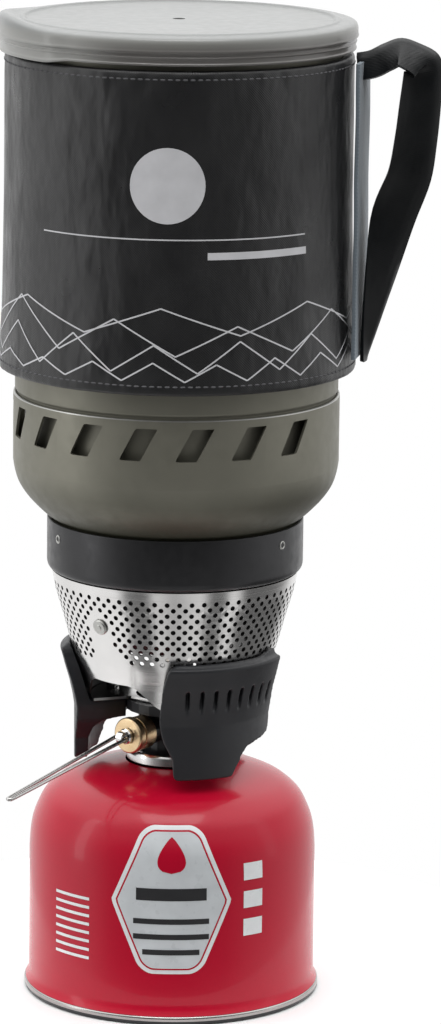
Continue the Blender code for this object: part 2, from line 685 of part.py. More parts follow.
def make_cosy():
    outer = [(62.8, COSY_TOP), (63.5, 351.3), (63.6, 300.0), (64.3, 258.0), (65.4, 241.5), (65.6, 237.6)]
    outer += [(65.0, COSY_BOTTOM)]
    inner = [(60.2, COSY_BOTTOM), (59.6, 237.6), (59.6, 351.3), (60.2, COSY_TOP)]
    return from_profile("insulating_cosy", outer + inner, BLACK_FABRIC)


def make_lid():
    """A push-on lid with a low ridge on top, a stepped skirt, a steam hole and a pouring lip."""
    top = [(0, 363.5), (55.6, 363.5), (56.4, LID_TOP), (57.6, LID_TOP), (58.6, 363.8), (62.4, 363.5)]
    skirt = [(63.7, 362.9), (LID_RADIUS, 361.8), (64.3, LID_STEP), (63.7, LID_STEP), (63.5, LID_BOTTOM)]
    inside = [(62.2, LID_BOTTOM), (61.8, 354.0), (61.7, 357.0), (57.6, 357.0), (57.6, 351.5), (56.7, 351.5)]
    under = [(56.4, 358.0), (54.0, 362.1), (0, 362.1)]
    lid = solid_turned("lid", top + skirt + inside + under, FROSTED_PLASTIC)
    for vertex in lid.data.vertices:
        push_spout(vertex)
    hole = rod("steam_hole", STEAM_HOLE_RADIUS, 350.0, 370.0, None, TINY_ROUND)
    return combine(lid, hole, "DIFFERENCE")


def push_spout(vertex):
    """Bulge the lid's rim outwards into a pouring lip that reaches further up and down."""
    x, y, z = vertex.co / MM
    radius = math.hypot(x, y)
    if radius < 60.0:
        return
    azimuth = math.degrees(math.atan2(x, -y))
    away = (azimuth - SPOUT_AZIMUTH + 180.0) % 360.0 - 180.0
    if abs(away) >= SPOUT_HALF_ANGLE:
        return
    share = math.cos(math.pi / 2 * away / SPOUT_HALF_ANGLE) ** 2
    wider = (radius + SPOUT_REACH * share) / radius
    rise = SPOUT_RISE * share * max(0.0, (z - LID_STEP) / (LID_TOP - LID_STEP))
    if z < LID_BOTTOM + 0.5:
        rise = -SPOUT_DIP * share
    vertex.co = Vector((x * wider, y * wider, z + rise)) * MM


# ---------------------------------------------------------------- strap handle


def handle_frame():
    """In the handle's upright plane: local X outwards, local Y up, local Z sideways."""
    return axis_frame(HANDLE_AZIMUTH) @ Matrix.Rotation(math.radians(-90), 4, "Y")


def make_handle_strip():
    frame = axis_frame(HANDLE_AZIMUTH, STRIP_FACE - 0.75, 0.0)
    strip = block("handle_backing_strip", (STRIP_WIDTH, 107.0, 1.5), (0.0, 297.0, 0.0), GREY_WEBBING, frame)
    for name, height in (("handle_anchor_top", 344.5), ("handle_anchor_bottom", 247.0)):
        block(name, (20.0, 11.0, 0.7), (0.0, height, 1.4), BLACK_FABRIC, frame)
    return strip


def make_handle_leg():
    """The long stiffened strap that the hand holds."""
    spine = [(94.6, 349.8), (95.4, 345.0), (94.4, 320.0), (92.3, 308.0), (87.0, 293.0), (81.5, 275.5)]
    spine += [(76.6, 261.7), (73.6, 252.0), (72.6, 246.0), (70.6, 241.5)]
    throat = [(70.6, 252.5), (71.0, 284.0), (73.0, 297.0), (76.0, 312.0), (77.8, 326.0), (80.5, 349.8)]
    return plate("handle_leg_strap", spine + throat, LEG_STRAP_THICKNESS, BLACK_FABRIC, handle_frame())


def make_handle_strut():
    """The short strap across the top, arched and narrowed at its anchor."""
    arch = [(70.4, 352.8), (81.0, 357.4), (94.3, 352.6), (94.3, 350.4), (81.0, 350.4), (74.0, 347.6)]
    arch += [(70.4, 344.0)]
    strut = plate("handle_top_strap", arch, STRUT_WIDTH, BLACK_FABRIC, handle_frame())
    half = STRUT_WIDTH / 2 + 1
    plan = [(69.0, -2.6), (73.5, -3.5), (83.0, -half), (91.0, -half), (96.0, -7.0)]
    plan += [(x, -y) for x, y in reversed(plan)]
    level = axis_frame(HANDLE_AZIMUTH, 0.0, 350.0) @ Matrix.Rotation(math.radians(-90), 4, "Y")
    level = level @ Matrix.Rotation(math.radians(90), 4, "X")
    return combine(strut, plate("strut_plan", plan, 40.0, None, level), "INTERSECT")


# ---------------------------------------------------------------- assembly


def make_axis(name, frame):
    empty = bpy.data.objects.new(name, None)
    empty.matrix_world = frame
    empty.empty_display_size = 0.01
    PARTS.objects.link(empty)
    return empty


def hang_on(parent, names):
    """Parent pieces to a joint's empty, with their own origins on its axis."""
    bpy.context.view_layer.update()
    for name in names:
        piece = move_to_axis(bpy.data.objects[name], parent.matrix_world.copy())
        piece.parent = parent
        piece.matrix_parent_inverse = parent.matrix_world.inverted()


def make_joint_axes():
    hang_on(make_axis("stem_axis", Matrix.Translation((0, 0, 0.085))), ["canister_valve_stem"])
    knob = make_axis("knob_axis", axis_frame(VALVE_AZIMUTH, 20.0, VALVE_HEIGHT))
    hang_on(knob, ["needle_spindle", "control_knob", "handle_yoke"])
    pivot = make_axis("wire_axis", axis_frame(VALVE_AZIMUTH, WIRE_PIVOT, VALVE_HEIGHT))
    hang_on(pivot, ["wire_handle"])
    pivot.parent = knob
    pivot.matrix_parent_inverse = knob.matrix_world.inverted()
    handle = make_axis("handle_axis", Matrix.Translation(direction(HANDLE_AZIMUTH) * HANDLE_HINGE * MM))
    hang_on(handle, ["handle_leg_strap", "handle_top_strap"])


def stand_on_floor():
    """Lowers everything from the datum to the floor; what hangs on an axis goes with it."""
    for piece in PARTS.objects:
        if piece.parent is None:
            piece.location.z -= FLOOR * MM


def build():
    make_canister_shell()
    make_canister_base()
    make_valve_cup()
    make_canister_valve()
    make_connector()
    make_regulator_body()
    make_regulator_insides()
    make_fuel_jet()
    make_control_valve()
    make_handle_yoke()
    make_wire_handle()
    for number in range(1, len(LEG_AZIMUTHS) + 1):
        make_leg(number)
        make_leg_screw(number)
    make_leg_hub()
    make_base_plate()
    make_mixing_tube()
    make_burner_cup()
    make_diffuser()
    make_mesh_dome()
    make_perforated_shell()
    make_shell_rivet()
    make_collar()
    make_vessel()
    make_fins()
    make_shroud()
    make_cosy()
    make_lid()
    make_handle_strip()
    make_handle_leg()
    make_handle_strut()
    make_joint_axes()
    stand_on_floor()


build()
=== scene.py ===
"""Looks of the canister stove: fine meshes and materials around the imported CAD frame.

Lengths are in millimetres and angles in degrees, in the frame's own axes: +Z up, the front towards -Y.
An azimuth is measured from the front and grows towards +X.
"""

import json
import math

import bmesh
import bpy
from mathutils import Matrix, Vector, noise


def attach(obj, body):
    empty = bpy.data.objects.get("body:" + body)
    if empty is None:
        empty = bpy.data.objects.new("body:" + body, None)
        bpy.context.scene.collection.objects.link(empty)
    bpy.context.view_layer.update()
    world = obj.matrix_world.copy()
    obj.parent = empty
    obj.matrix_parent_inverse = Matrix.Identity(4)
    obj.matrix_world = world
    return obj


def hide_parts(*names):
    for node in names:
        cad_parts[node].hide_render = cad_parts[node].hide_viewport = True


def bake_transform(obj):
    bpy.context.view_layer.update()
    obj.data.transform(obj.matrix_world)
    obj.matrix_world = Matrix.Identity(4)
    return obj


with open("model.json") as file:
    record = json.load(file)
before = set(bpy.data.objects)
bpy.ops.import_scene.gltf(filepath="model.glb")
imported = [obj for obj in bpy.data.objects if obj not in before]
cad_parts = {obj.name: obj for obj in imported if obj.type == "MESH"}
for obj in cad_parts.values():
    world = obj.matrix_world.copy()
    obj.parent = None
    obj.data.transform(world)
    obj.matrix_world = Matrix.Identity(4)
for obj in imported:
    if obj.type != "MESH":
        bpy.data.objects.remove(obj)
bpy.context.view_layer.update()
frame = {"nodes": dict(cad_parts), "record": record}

MM = 0.001
FINE = 180
MEDIUM = 96

# Heights are counted from a datum this far below the floor.
FLOOR = 1.35

# Camera, solved for the object's own round rims.
CAMERA_TARGET = (16.6, 0.0, 181.7)
CAMERA_DISTANCE = 1841.0
CAMERA_TILT = 11.93
CAMERA_ROLL = 0.67
CAMERA_LENS = 175.8

VALVE_AZIMUTH = -40.5
VALVE_HEIGHT = 101.3
WIRE_PIVOT = 28.7
WIRE_DROOP = 10.7
WIRE_LENGTH = 62.0
WIRE_SIDES = 14
SHELL_GAP_AZIMUTHS = (-43.0, 86.0, 193.0)
RIVET_AZIMUTH = -39.5
RIVET_HEIGHT = 145.3
HANDLE_AZIMUTH = 79.0
STRIP_FACE = 68.0

FLOOR_RADIUS = 135.0
FLOOR_BEHIND = 45.0

# Brightness of the studio round the object as (azimuth, level): at eye height and below it.
STUDIO_ROUND = [(-180, 1.0), (-110, 0.9), (-85, 1.0), (-70, 0.95), (-50, 0.3), (-20, 0.06), (20, 0.06)]
STUDIO_ROUND += [(45, 0.25), (75, 0.7), (110, 0.85), (180, 1.0)]
STUDIO_BELOW = [(-180, 1.0), (-130, 1.0), (-60, 1.0), (-50, 0.2), (-28, 0.14), (-20, 0.8), (0, 0.42)]
STUDIO_BELOW += [(30, 0.8), (38, 0.14), (54, 0.14), (60, 0.9), (68, 0.8), (76, 0.12), (135, 0.15)]
STUDIO_BELOW += [(160, 0.6), (180, 1.0)]
STUDIO_CEILING = 1.1
BACKDROP = 1.0


# ---------------- directions and curves


def direction(azimuth):
    angle = math.radians(azimuth)
    return Vector((math.sin(angle), -math.cos(angle), 0.0))


def on_round(azimuth, radius, height):
    return direction(azimuth) * radius + Vector((0, 0, height))


def axis_frame(azimuth, distance=0.0, height=0.0):
    """Local Z outwards along the azimuth, local Y up, local X sideways, in millimetres."""
    outward = direction(azimuth)
    sideways = Vector((0, 0, 1)).cross(outward)
    turn = Matrix((sideways, (0, 0, 1), outward)).transposed().to_4x4()
    return Matrix.Translation(outward * distance + Vector((0, 0, height))) @ turn


def circle(radius, sides):
    angles = [math.tau * k / sides for k in range(sides)]
    return [(radius * math.cos(angle), radius * math.sin(angle)) for angle in angles]


def rounded(corners, closed=True, pieces=4):
    """Points of a profile whose corners (r, z, reach) are rounded over that reach."""
    points = []
    count = len(corners)
    for i, corner in enumerate(corners):
        here = Vector(corner[:2])
        reach = corner[2] if len(corner) > 2 else 0.0
        if reach <= 0 or (not closed and i in (0, count - 1)):
            points.append(tuple(here))
            continue
        before = Vector(corners[i - 1][:2]) - here
        after = Vector(corners[(i + 1) % count][:2]) - here
        start = here + before.normalized() * min(reach, before.length / 2)
        end = here + after.normalized() * min(reach, after.length / 2)
        for k in range(pieces + 1):
            t = k / pieces
            points.append(tuple(start * (1 - t) ** 2 + here * 2 * t * (1 - t) + end * t**2))
    return points


def spline(points, pieces):
    """A smooth line through points of any dimension."""
    line = []
    count = len(points)
    vectors = [Vector(p) for p in points]
    for i in range(count - 1):
        p0 = vectors[max(i - 1, 0)]
        p1, p2 = vectors[i], vectors[i + 1]
        p3 = vectors[min(i + 2, count - 1)]
        for k in range(pieces):
            t = k / pieces
            line.append(
                0.5 * (2 * p1 + (p2 - p0) * t + (2 * p0 - 5 * p1 + 4 * p2 - p3) * t**2
                       + (3 * p1 - p0 - 3 * p2 + p3) * t**3)
            )
    line.append(vectors[-1])
    return line


def lookup(table, x):
    """Linear interpolation in (x, y) pairs that ascend in x."""
    if x <= table[0][0]:
        return table[0][1]
    for (x0, y0), (x1, y1) in zip(table, table[1:]):
        if x <= x1:
            return y0 + (y1 - y0) * (x - x0) / (x1 - x0)
    return table[-1][1]


# ---------------- pieces


def to_scene(point):
    """From millimetres above the datum, which is FLOOR below the floor, to metres above the floor."""
    x, y, z = point
    return (x * MM, y * MM, (z - FLOOR) * MM)


def clean(mesh, weld, outwards=True):
    """Merges a mesh's doubled points and turns its faces outwards."""
    shape = bmesh.new()
    shape.from_mesh(mesh)
    if weld:
        bmesh.ops.remove_doubles(shape, verts=shape.verts, dist=2e-7)
    if outwards:
        bmesh.ops.recalc_face_normals(shape, faces=shape.faces)
    shape.to_mesh(mesh)
    shape.free()


def add_object(name, data):
    obj = bpy.data.objects.new(name, data)
    bpy.context.scene.collection.objects.link(obj)
    return obj


def new_object(name, points, faces, weld=True, outwards=True):
    mesh = bpy.data.meshes.new(name)
    mesh.from_pydata([to_scene(point) for point in points], [], faces)
    clean(mesh, weld, outwards)
    return add_object(name, mesh)


def piece(name, points, faces, look, body, slot=None, sharp=35.0, closed=True):
    """A mesh piece from points in millimetres, riding on a body."""
    obj = new_object(name, points, faces, outwards=closed)
    finish_piece(obj, look, body, slot, sharp)
    return obj


def tube_faces(rings, count, start=0):
    """Quads between rings of count points that are listed one after the other."""
    faces = []
    for ring in range(rings - 1):
        a = start + ring * count
        for i in range(count):
            k = (i + 1) % count
            faces.append((a + i, a + k, a + count + k, a + count + i))
    return faces


def grid_faces(rows, columns):
    """Quads over a grid of points that are listed row by row."""
    faces = []
    for j in range(rows):
        for i in range(columns):
            a = j * (columns + 1) + i
            faces.append((a, a + 1, a + columns + 2, a + columns + 1))
    return faces


def finish_piece(obj, look, body, slot=None, sharp=35.0):
    """Gives a piece its look and its body; its slot argument is not used."""
    obj.data.materials.clear()
    obj.data.materials.append(LOOKS[look])
    obj.data.shade_smooth()
    obj.data.set_sharp_from_angle(angle=math.radians(sharp))
    if body is not None:
        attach(obj, body)
    slot or look


def turned(
    name, profile, look, body, slot=None, facets=FINE, closed=True, shape=None, place=None, sharp=35.0
):
    """A turned piece; shape(azimuth, r, z) may move its points, and place sets its axis."""
    points = []
    faces = []
    rows = len(profile)
    for j in range(facets):
        azimuth = 360.0 * j / facets
        for r, z in profile:
            if shape is not None:
                r, z = shape(azimuth, r, z)
            point = on_round(azimuth, r, z)
            points.append(place @ point if place is not None else point)
    for j in range(facets):
        after = (j + 1) % facets
        for i in range(rows if closed else rows - 1):
            k = (i + 1) % rows
            faces.append((j * rows + i, j * rows + k, after * rows + k, after * rows + i))
    return piece(name, points, faces, look, body, slot, sharp)


def loft(name, sections, look, body, slot=None):
    """A closed tube through sections of equal point count."""
    count = len(sections[0])
    points = [p for section in sections for p in section]
    faces = tube_faces(len(sections), count)
    faces.append(tuple(range(count)))
    last = (len(sections) - 1) * count
    faces.append(tuple(last + i for i in reversed(range(count))))
    return piece(name, points, faces, look, body, slot)


def wire(name, path, radius, look, body, slot):
    """A round wire along a path of points."""
    sections = []
    last = len(path) - 1
    side = None
    for i, here in enumerate(path):
        ahead = (path[min(i + 1, last)] - path[max(i - 1, 0)]).normalized()
        if side is None:
            side = ahead.orthogonal().normalized()
        side = (side - ahead * side.dot(ahead)).normalized()
        other = ahead.cross(side)
        sections.append([here + side * x + other * y for x, y in circle(radius, WIRE_SIDES)])
    return loft(name, sections, look, body, slot)


def bake(obj):
    """Turns an object's modifiers into its mesh."""
    bpy.context.view_layer.update()
    mesh = bpy.data.meshes.new_from_object(obj.evaluated_get(bpy.context.evaluated_depsgraph_get()))
    obj.modifiers.clear()
    obj.data = mesh


def boolean(obj, other, operation):
    """A Boolean, applied, with the second object removed."""
    modifier = obj.modifiers.new("cut", "BOOLEAN")
    modifier.operation = operation
    modifier.solver = "EXACT"
    modifier.object = other
    bake(obj)
    bpy.data.objects.remove(other, do_unlink=True)


def cut_away(obj, solids):
    boolean(obj, cutter_of(solids), "DIFFERENCE")


def prism(outline, frame_at, near, far):
    """A plain cutter: an outline swept along local Z of a frame."""
    points = [frame_at @ Vector((x, y, near)) for x, y in outline]
    points += [frame_at @ Vector((x, y, far)) for x, y in outline]
    count = len(outline)
    caps = [tuple(reversed(range(count))), tuple(count + i for i in range(count))]
    return points, caps + tube_faces(2, count)


def cutter_of(solids):
    """One cutter object out of several prisms."""
    points = []
    faces = []
    for some_points, some_faces in solids:
        start = len(points)
        points += some_points
        faces += [tuple(start + i for i in face) for face in some_faces]
    return new_object("cutter", points, faces, weld=False)


# ---------------- material building


class Nodes:
    """Shorthands for building a node tree."""

    def __init__(self, tree, coordinates):
        self.tree = tree
        self.place = tree.nodes.new("ShaderNodeTexCoord").outputs[coordinates]

    def join(self, output, socket):
        self.tree.links.new(output, socket)

    def math(self, operation, first, second=None):
        node = self.tree.nodes.new("ShaderNodeMath")
        node.operation = operation
        for socket, value in zip(node.inputs, (first, second)):
            if value is None:
                continue
            if isinstance(value, (int, float)):
                socket.default_value = value
            else:
                self.join(value, socket)
        return node.outputs[0]

    def noise(self, scale, detail, stretch=(1, 1, 1)):
        """Noise over the object; scale is in features per metre."""
        mapping = self.tree.nodes.new("ShaderNodeMapping")
        mapping.inputs["Scale"].default_value = stretch
        self.join(self.place, mapping.inputs["Vector"])
        node = self.tree.nodes.new("ShaderNodeTexNoise")
        node.inputs["Scale"].default_value = scale
        node.inputs["Detail"].default_value = detail
        self.join(mapping.outputs["Vector"], node.inputs["Vector"])
        return node.outputs["Fac"]

    def remap(self, value, low, high, to_low=0.0, to_high=1.0, smooth=False):
        node = self.tree.nodes.new("ShaderNodeMapRange")
        if smooth:
            node.interpolation_type = "SMOOTHSTEP"
        self.join(value, node.inputs["Value"])
        for name, number in zip(("From Min", "From Max", "To Min", "To Max"), (low, high, to_low, to_high)):
            node.inputs[name].default_value = number
        return node.outputs["Result"]

    def noise_share(self, scale, detail):
        """Noise from 0 to 1 over its usual spread."""
        return self.remap(self.noise(scale, detail), 0.3, 0.7)

    def blend_colours(self, factor, first, second):
        node = self.tree.nodes.new("ShaderNodeMix")
        node.data_type = "RGBA"
        self.join(factor, node.inputs["Factor"])
        for socket, value in ((node.inputs[6], first), (node.inputs[7], second)):
            if isinstance(value, tuple):
                socket.default_value = (*value, 1.0)
            else:
                self.join(value, socket)
        return node.outputs[2]

    def split(self):
        node = self.tree.nodes.new("ShaderNodeSeparateXYZ")
        self.join(self.place, node.inputs[0])
        return node.outputs

    def azimuth(self):
        """Angle round the upright axis in radians, from the front and towards +X."""
        x, y, _ = self.split()
        return self.math("ARCTAN2", x, self.math("MULTIPLY", y, -1.0))


class Look(Nodes):
    """A Principled material with procedural detail."""

    def __init__(self, name, colour, roughness, metallic=0.0, **sockets):
        self.material = bpy.data.materials.new(name)
        self.material.use_nodes = True
        self.material.diffuse_color = (*colour, 1.0)
        super().__init__(self.material.node_tree, "Object")
        self.shader = self.tree.nodes["Principled BSDF"]
        self.shader.inputs["Base Color"].default_value = (*colour, 1.0)
        self.shader.inputs["Roughness"].default_value = roughness
        self.shader.inputs["Metallic"].default_value = metallic
        for socket, value in sockets.items():
            self.shader.inputs[socket.replace("_", " ")].default_value = value
        self.height = None

    def colour(self, output):
        self.join(output, self.shader.inputs["Base Color"])

    def bump(self, height, distance, strength):
        """Adds a bump; distance is in metres."""
        node = self.tree.nodes.new("ShaderNodeBump")
        node.inputs["Distance"].default_value = distance
        node.inputs["Strength"].default_value = strength
        self.join(height, node.inputs["Height"])
        if self.height is not None:
            self.join(self.height, node.inputs["Normal"])
        self.height = node.outputs["Normal"]
        self.join(self.height, self.shader.inputs["Normal"])

    def mottle(self, scale, first, second):
        """Slow colour variation between two colours."""
        self.colour(self.blend_colours(self.noise_share(scale, 3), first, second))

    def wear(self, scale, low, high, stretch=(1, 1, 1)):
        """Roughness that varies over the surface."""
        amount = self.remap(self.noise(scale, 4, stretch), 0.3, 0.7, low, high)
        self.join(amount, self.shader.inputs["Roughness"])


def enamel():
    look = Look(
        "crimson_enamel", (0.47, 0.003, 0.024), 0.3,
        Coat_Weight=0.22, Coat_Roughness=0.05, Specular_IOR_Level=0.25,
    )
    look.mottle(900, (0.46, 0.0028, 0.0235), (0.48, 0.0032, 0.0245))
    look.wear(700, 0.25, 0.27)
    look.bump(look.noise(160, 2), 0.00003, 0.3)
    return look.material


def scaled(colour, factor):
    return tuple(min(c * factor, 1.0) for c in colour)


def steel(name, colour, low, high, stretch=(1, 1, 1), bump=0.00001, scale=900):
    look = Look(name, colour, low, 1.0)
    look.mottle(60, scaled(colour, 0.9), colour)
    look.wear(scale, low, high, stretch)
    look.bump(look.noise(scale * 2, 3, stretch), bump, 0.6)
    return look.material


def brass():
    look = Look("turned_brass", (0.74, 0.55, 0.33), 0.3, 1.0)
    look.mottle(220, (0.68, 0.49, 0.28), (0.78, 0.6, 0.38))
    look.wear(1400, 0.26, 0.36)
    look.bump(look.noise(2600, 2), 0.00001, 0.5)
    return look.material


def coated(name, colour, roughness, metallic):
    """Dark satin coating on metal."""
    look = Look(name, colour, roughness, metallic)
    look.mottle(70, colour, scaled(colour, 1.25))
    look.wear(300, roughness - 0.06, roughness + 0.07)
    look.bump(look.noise(3500, 2), 0.00001, 0.5)
    return look.material


def anodised():
    """Hard-anodised aluminium with faint turning marks, and painted shade towards the bottom, by the burner.
    """
    look = Look("olive_anodised", (0.2, 0.193, 0.155), 0.45, 0.55)
    # Painted shade: below these heights the colour darkens towards a deep olive.
    painted_shade_low = look.remap(look.split()[2], 0.183, 0.200, 1.0, 0.0)
    body = look.blend_colours(look.noise_share(40, 3), (0.205, 0.2, 0.162), (0.23, 0.223, 0.182))
    look.colour(look.blend_colours(painted_shade_low, body, (0.07, 0.069, 0.048)))
    look.wear(220, 0.4, 0.52)
    look.bump(look.noise(900, 2, (0.02, 0.02, 3.0)), 0.00003, 0.35)
    look.bump(look.noise(5000, 2), 0.00001, 0.5)
    return look.material


def moulded(name, colour, roughness):
    """Moulded plastic with a fine spark-eroded grain."""
    look = Look(name, colour, roughness)
    look.mottle(90, scaled(colour, 0.92), scaled(colour, 1.1))
    look.wear(500, roughness - 0.05, roughness + 0.07)
    look.bump(look.noise(3800, 3), 0.00004, 0.45)
    return look.material


def frosted():
    """Frosted see-through plastic, with painted light on the skirt: it is paler on the spout side, where the
    spout stands off the dark cosy.
    """
    look = Look(
        "frosted_plastic", (0.50, 0.51, 0.485), 0.34,
        Transmission_Weight=0.35, IOR=1.48, Specular_IOR_Level=0.6, Coat_Weight=0.35, Coat_Roughness=0.12,
    )
    # Heights and widths in metres: the skirt, then the rim, then the flat top.
    x, _, height = look.split()
    top = look.blend_colours(look.noise_share(30, 3), (0.27, 0.28, 0.275), (0.31, 0.32, 0.315))
    # Painted light: the skirt's colour turns paler towards -X, on the spout side.
    skirt = look.blend_colours(look.remap(x, -0.045, -0.02), (0.4, 0.4, 0.38), (0.19, 0.18, 0.17))
    rim = look.blend_colours(look.remap(height, 0.3572, 0.3605), skirt, (0.34, 0.34, 0.32))
    look.colour(look.blend_colours(look.remap(height, 0.3605, 0.3622), rim, top))
    look.wear(260, 0.3, 0.38)
    return look.material


WEAVE_RADIUS = 63.5


def woven(name, dark, light, pitch, roughness, sheen=0.3, depth=0.00012, shine=0.35, crease=0.25):
    """Plain weave over azimuth and height, pitch in millimetres, with soft creases."""
    look = Look(name, dark, roughness, Sheen_Weight=sheen, Sheen_Roughness=0.4, Specular_IOR_Level=shine)
    weft = look.math("SINE", look.math("MULTIPLY", look.azimuth(), WEAVE_RADIUS * math.tau / pitch))
    warp = look.math("SINE", look.math("MULTIPLY", look.split()[2], math.tau / (pitch * MM)))
    cross = look.math("MULTIPLY", weft, warp)
    speckle = look.noise(1500, 2)
    amount = look.remap(look.math("ADD", cross, speckle), -0.6, 1.6)
    look.colour(look.blend_colours(amount, dark, light))
    look.wear(60, roughness - 0.08, roughness + 0.1)
    look.bump(cross, depth, 0.35)
    look.bump(look.noise(60, 3, (1, 1, 0.5)), 0.0025, crease)
    return look.material


def plain(name, colour, roughness):
    look = Look(name, colour, roughness)
    look.mottle(120, scaled(colour, 0.93), scaled(colour, 1.05))
    look.wear(300, roughness - 0.05, roughness + 0.05)
    return look.material


def floor_look():
    look = Look("pale_floor", (0.9, 0.9, 0.9), 0.6)
    look.mottle(3, (0.89, 0.89, 0.89), (0.91, 0.91, 0.91))
    return look.material


def make_looks():
    round_the_axis = (0.03, 0.03, 4.0)
    return {
        "crimson_paint": enamel(),
        "tinplate": steel("tinplate_seam", (0.42, 0.41, 0.4), 0.14, 0.24, round_the_axis, 0.00002, 500),
        "stainless": steel("bright_stainless", (0.78, 0.77, 0.76), 0.14, 0.24, round_the_axis, 0.00001, 500),
        "heat_tinted": coated("heat_tinted_steel", (0.02, 0.018, 0.017), 0.6, 0.2),
        "wire_steel": steel("drawn_wire", (0.5, 0.49, 0.48), 0.2, 0.3),
        "brass": brass(),
        "dark_steel": coated("black_steel", (0.032, 0.032, 0.034), 0.34, 0.5),
        "dark_plastic": moulded("slate_plastic", (0.018, 0.019, 0.022), 0.42),
        "white_plastic": moulded("white_plastic", (0.75, 0.74, 0.7), 0.45),
        "rubber": moulded("black_rubber", (0.02, 0.02, 0.02), 0.7),
        "olive_aluminium": anodised(),
        "aluminium": steel("mill_aluminium", (0.5, 0.5, 0.48), 0.3, 0.45),
        "frosted_plastic": frosted(),
        "cosy_fabric": woven(
            "cosy_satin", (0.003, 0.003, 0.0034), (0.009, 0.009, 0.0102), 0.9, 0.34,
            sheen=0.04, shine=0.6, crease=1.0,
        ),
        "strap_fabric": woven(
            "strap_nylon", (0.001, 0.0015, 0.002), (0.003, 0.004, 0.005), 0.8, 0.4,
            sheen=0.0, depth=0.00003, crease=0.5,
        ),
        "grey_webbing": woven("grey_webbing", (0.15, 0.18, 0.21), (0.2, 0.235, 0.265), 1.4, 0.7),
        "thread": plain("stitch_thread", (0.07, 0.07, 0.075), 0.7),
        "label_ink": plain("label_ink", (0.02, 0.02, 0.022), 0.4),
        "print": plain("white_print", (0.62, 0.62, 0.64), 0.6),
        "label_white": plain("label_white", (0.8, 0.82, 0.83), 0.3),
        "label_grey": plain("label_grey", (0.62, 0.65, 0.67), 0.3),
        "mesh_metal": steel("mesh_metal", (0.3, 0.29, 0.28), 0.5, 0.7),
    }


LOOKS = make_looks()

# ---------------- gas canister

CANISTER_PROFILE = [(17.7, 88.2), (24.0, 86.9), (31.8, 84.7), (37.5, 82.6), (42.5, 80.0), (47.4, 75.6)]
CANISTER_PROFILE += [(50.0, 71.0), (51.9, 66.0), (52.8, 61.0), (53.2, 55.0)]
# Below this height the seam gets painted shade, the black steel look, except where it faces up.
SEAM_SHADE = 2.9


def canister_radius(height):
    wall = [(point.y, point.x) for point in reversed(spline(CANISTER_PROFILE, 4))]
    return lookup(wall, height)


def make_canister():
    shoulder = [tuple(p) for p in spline(CANISTER_PROFILE, 4)]
    inner = [(r - 0.9, z - 0.4) for r, z in reversed(shoulder)]
    inner[-1] = (17.7, 87.2)
    foot = [(53.2, 20.0), (53.2, 7.4, 1.6), (54.2, 5.2, 0.8), (54.5, 4.7), (53.2, 4.7)]
    profile = shoulder + rounded(foot, closed=False) + [(52.3, 7.4)] + inner
    shell = turned("canister_body", profile, "crimson_paint", "canister")
    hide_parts("canister_shell")

    upper = [(0.0, 12.8), (20.0, 12.0, 4), (36.0, 9.6, 4), (47.0, 5.2, 2), (51.0, 4.4, 0.5)]
    seam = [(52.0, 4.65, 0.3), (55.0, 4.65, 0.9), (55.0, FLOOR, 1.6), (51.7, FLOOR, 0.9)]
    lower = [(51.4, 2.4, 0.5), (50.8, 3.4, 0.6), (47.0, 4.2, 2), (36.0, 8.6, 4), (20, 11, 4), (0, 11.8)]
    profile = rounded(upper + seam + lower, closed=False)
    base = turned("canister_seam", profile, "tinplate", "canister", closed=False)
    # Painted shade: the low seam faces that don't face up take the black steel look.
    base.data.materials.append(LOOKS["dark_steel"])
    for face in base.data.polygons:
        face.material_index = 1 if face.center.z < (SEAM_SHADE - FLOOR) * MM and face.normal.z < 0.1 else 0
    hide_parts("canister_base")

    top = [(2.4, 95.0), (5.1, 95.0, 0.2), (5.55, 94.5, 0.2), (5.55, 87.0, 0.4), (6.0, 86.6, 0.3)]
    curl = [(14.2, 86.6, 0.5), (14.6, 92.2, 0.9), (15.5, 92.95, 0.6), (16.5, 92.8, 0.6), (17.2, 91.6, 0.8)]
    under = [(17.2, 89.0), (16.1, 88.7), (15.3, 85.6), (6.3, 85.6), (4.6, 86.2), (4.6, 94.0), (2.4, 94.0)]
    profile = rounded(top + curl + under)
    cup = turned("canister_cup", profile, "stainless", "canister", "tinplate", MEDIUM)
    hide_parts("valve_cup")


LABEL_HALF = [(11.0, 20.6), (22.6, 47.6), (10.5, 75.3)]
LABEL_AZIMUTH = 0.4
LABEL_BARS = [(50.6, 26.0, 4.6), (40.4, 28.0, 2.0), (34.6, 28.0, 2.0), (28.8, 21.0, 2.0)]
PRINT_LIFT = 0.12
LABEL_INK_LIFT = 0.36
LABEL_LAYERS = [("label_border", 0.0, PRINT_LIFT, "label_white"), ("label_line", 1.5, 0.20, "crimson_paint")]
LABEL_LAYERS += [("label_field", 2.1, 0.28, "label_grey")]
SQUARE_AZIMUTH = 34.5
STRIPE_AZIMUTH = -43.0
FLAME_LOW, FLAME_HIGH, FLAME_HALF = 58.5, 71.5, 5.2


def label_half_width(height, inset):
    """Half width of the six-sided label at a height, with its sides moved in."""
    low, high = LABEL_HALF[0][1] + inset, LABEL_HALF[2][1] - inset
    if height < low or height > high:
        return 0.0
    width = lookup([(z, w) for w, z in LABEL_HALF], height) - inset * 1.12
    corner = 4.6 - inset * 0.5
    for edge in (low, high):
        near = abs(height - edge)
        if near < corner:
            width -= corner - math.sqrt(max(0.0, corner**2 - (corner - near) ** 2))
    return width


def on_wall(name, azimuth, lines, columns, lift, look):
    """A printed patch that follows the canister wall, through level lines of (height, half width)."""
    points = []
    for height, half in lines:
        radius = canister_radius(height) + lift
        for i in range(columns + 1):
            across = half * (2 * i / columns - 1)
            points.append(on_round(azimuth + math.degrees(across / radius), radius, height))
    faces = grid_faces(len(lines) - 1, columns)
    piece(name, points, faces, look, "canister", "crimson_paint", closed=False)


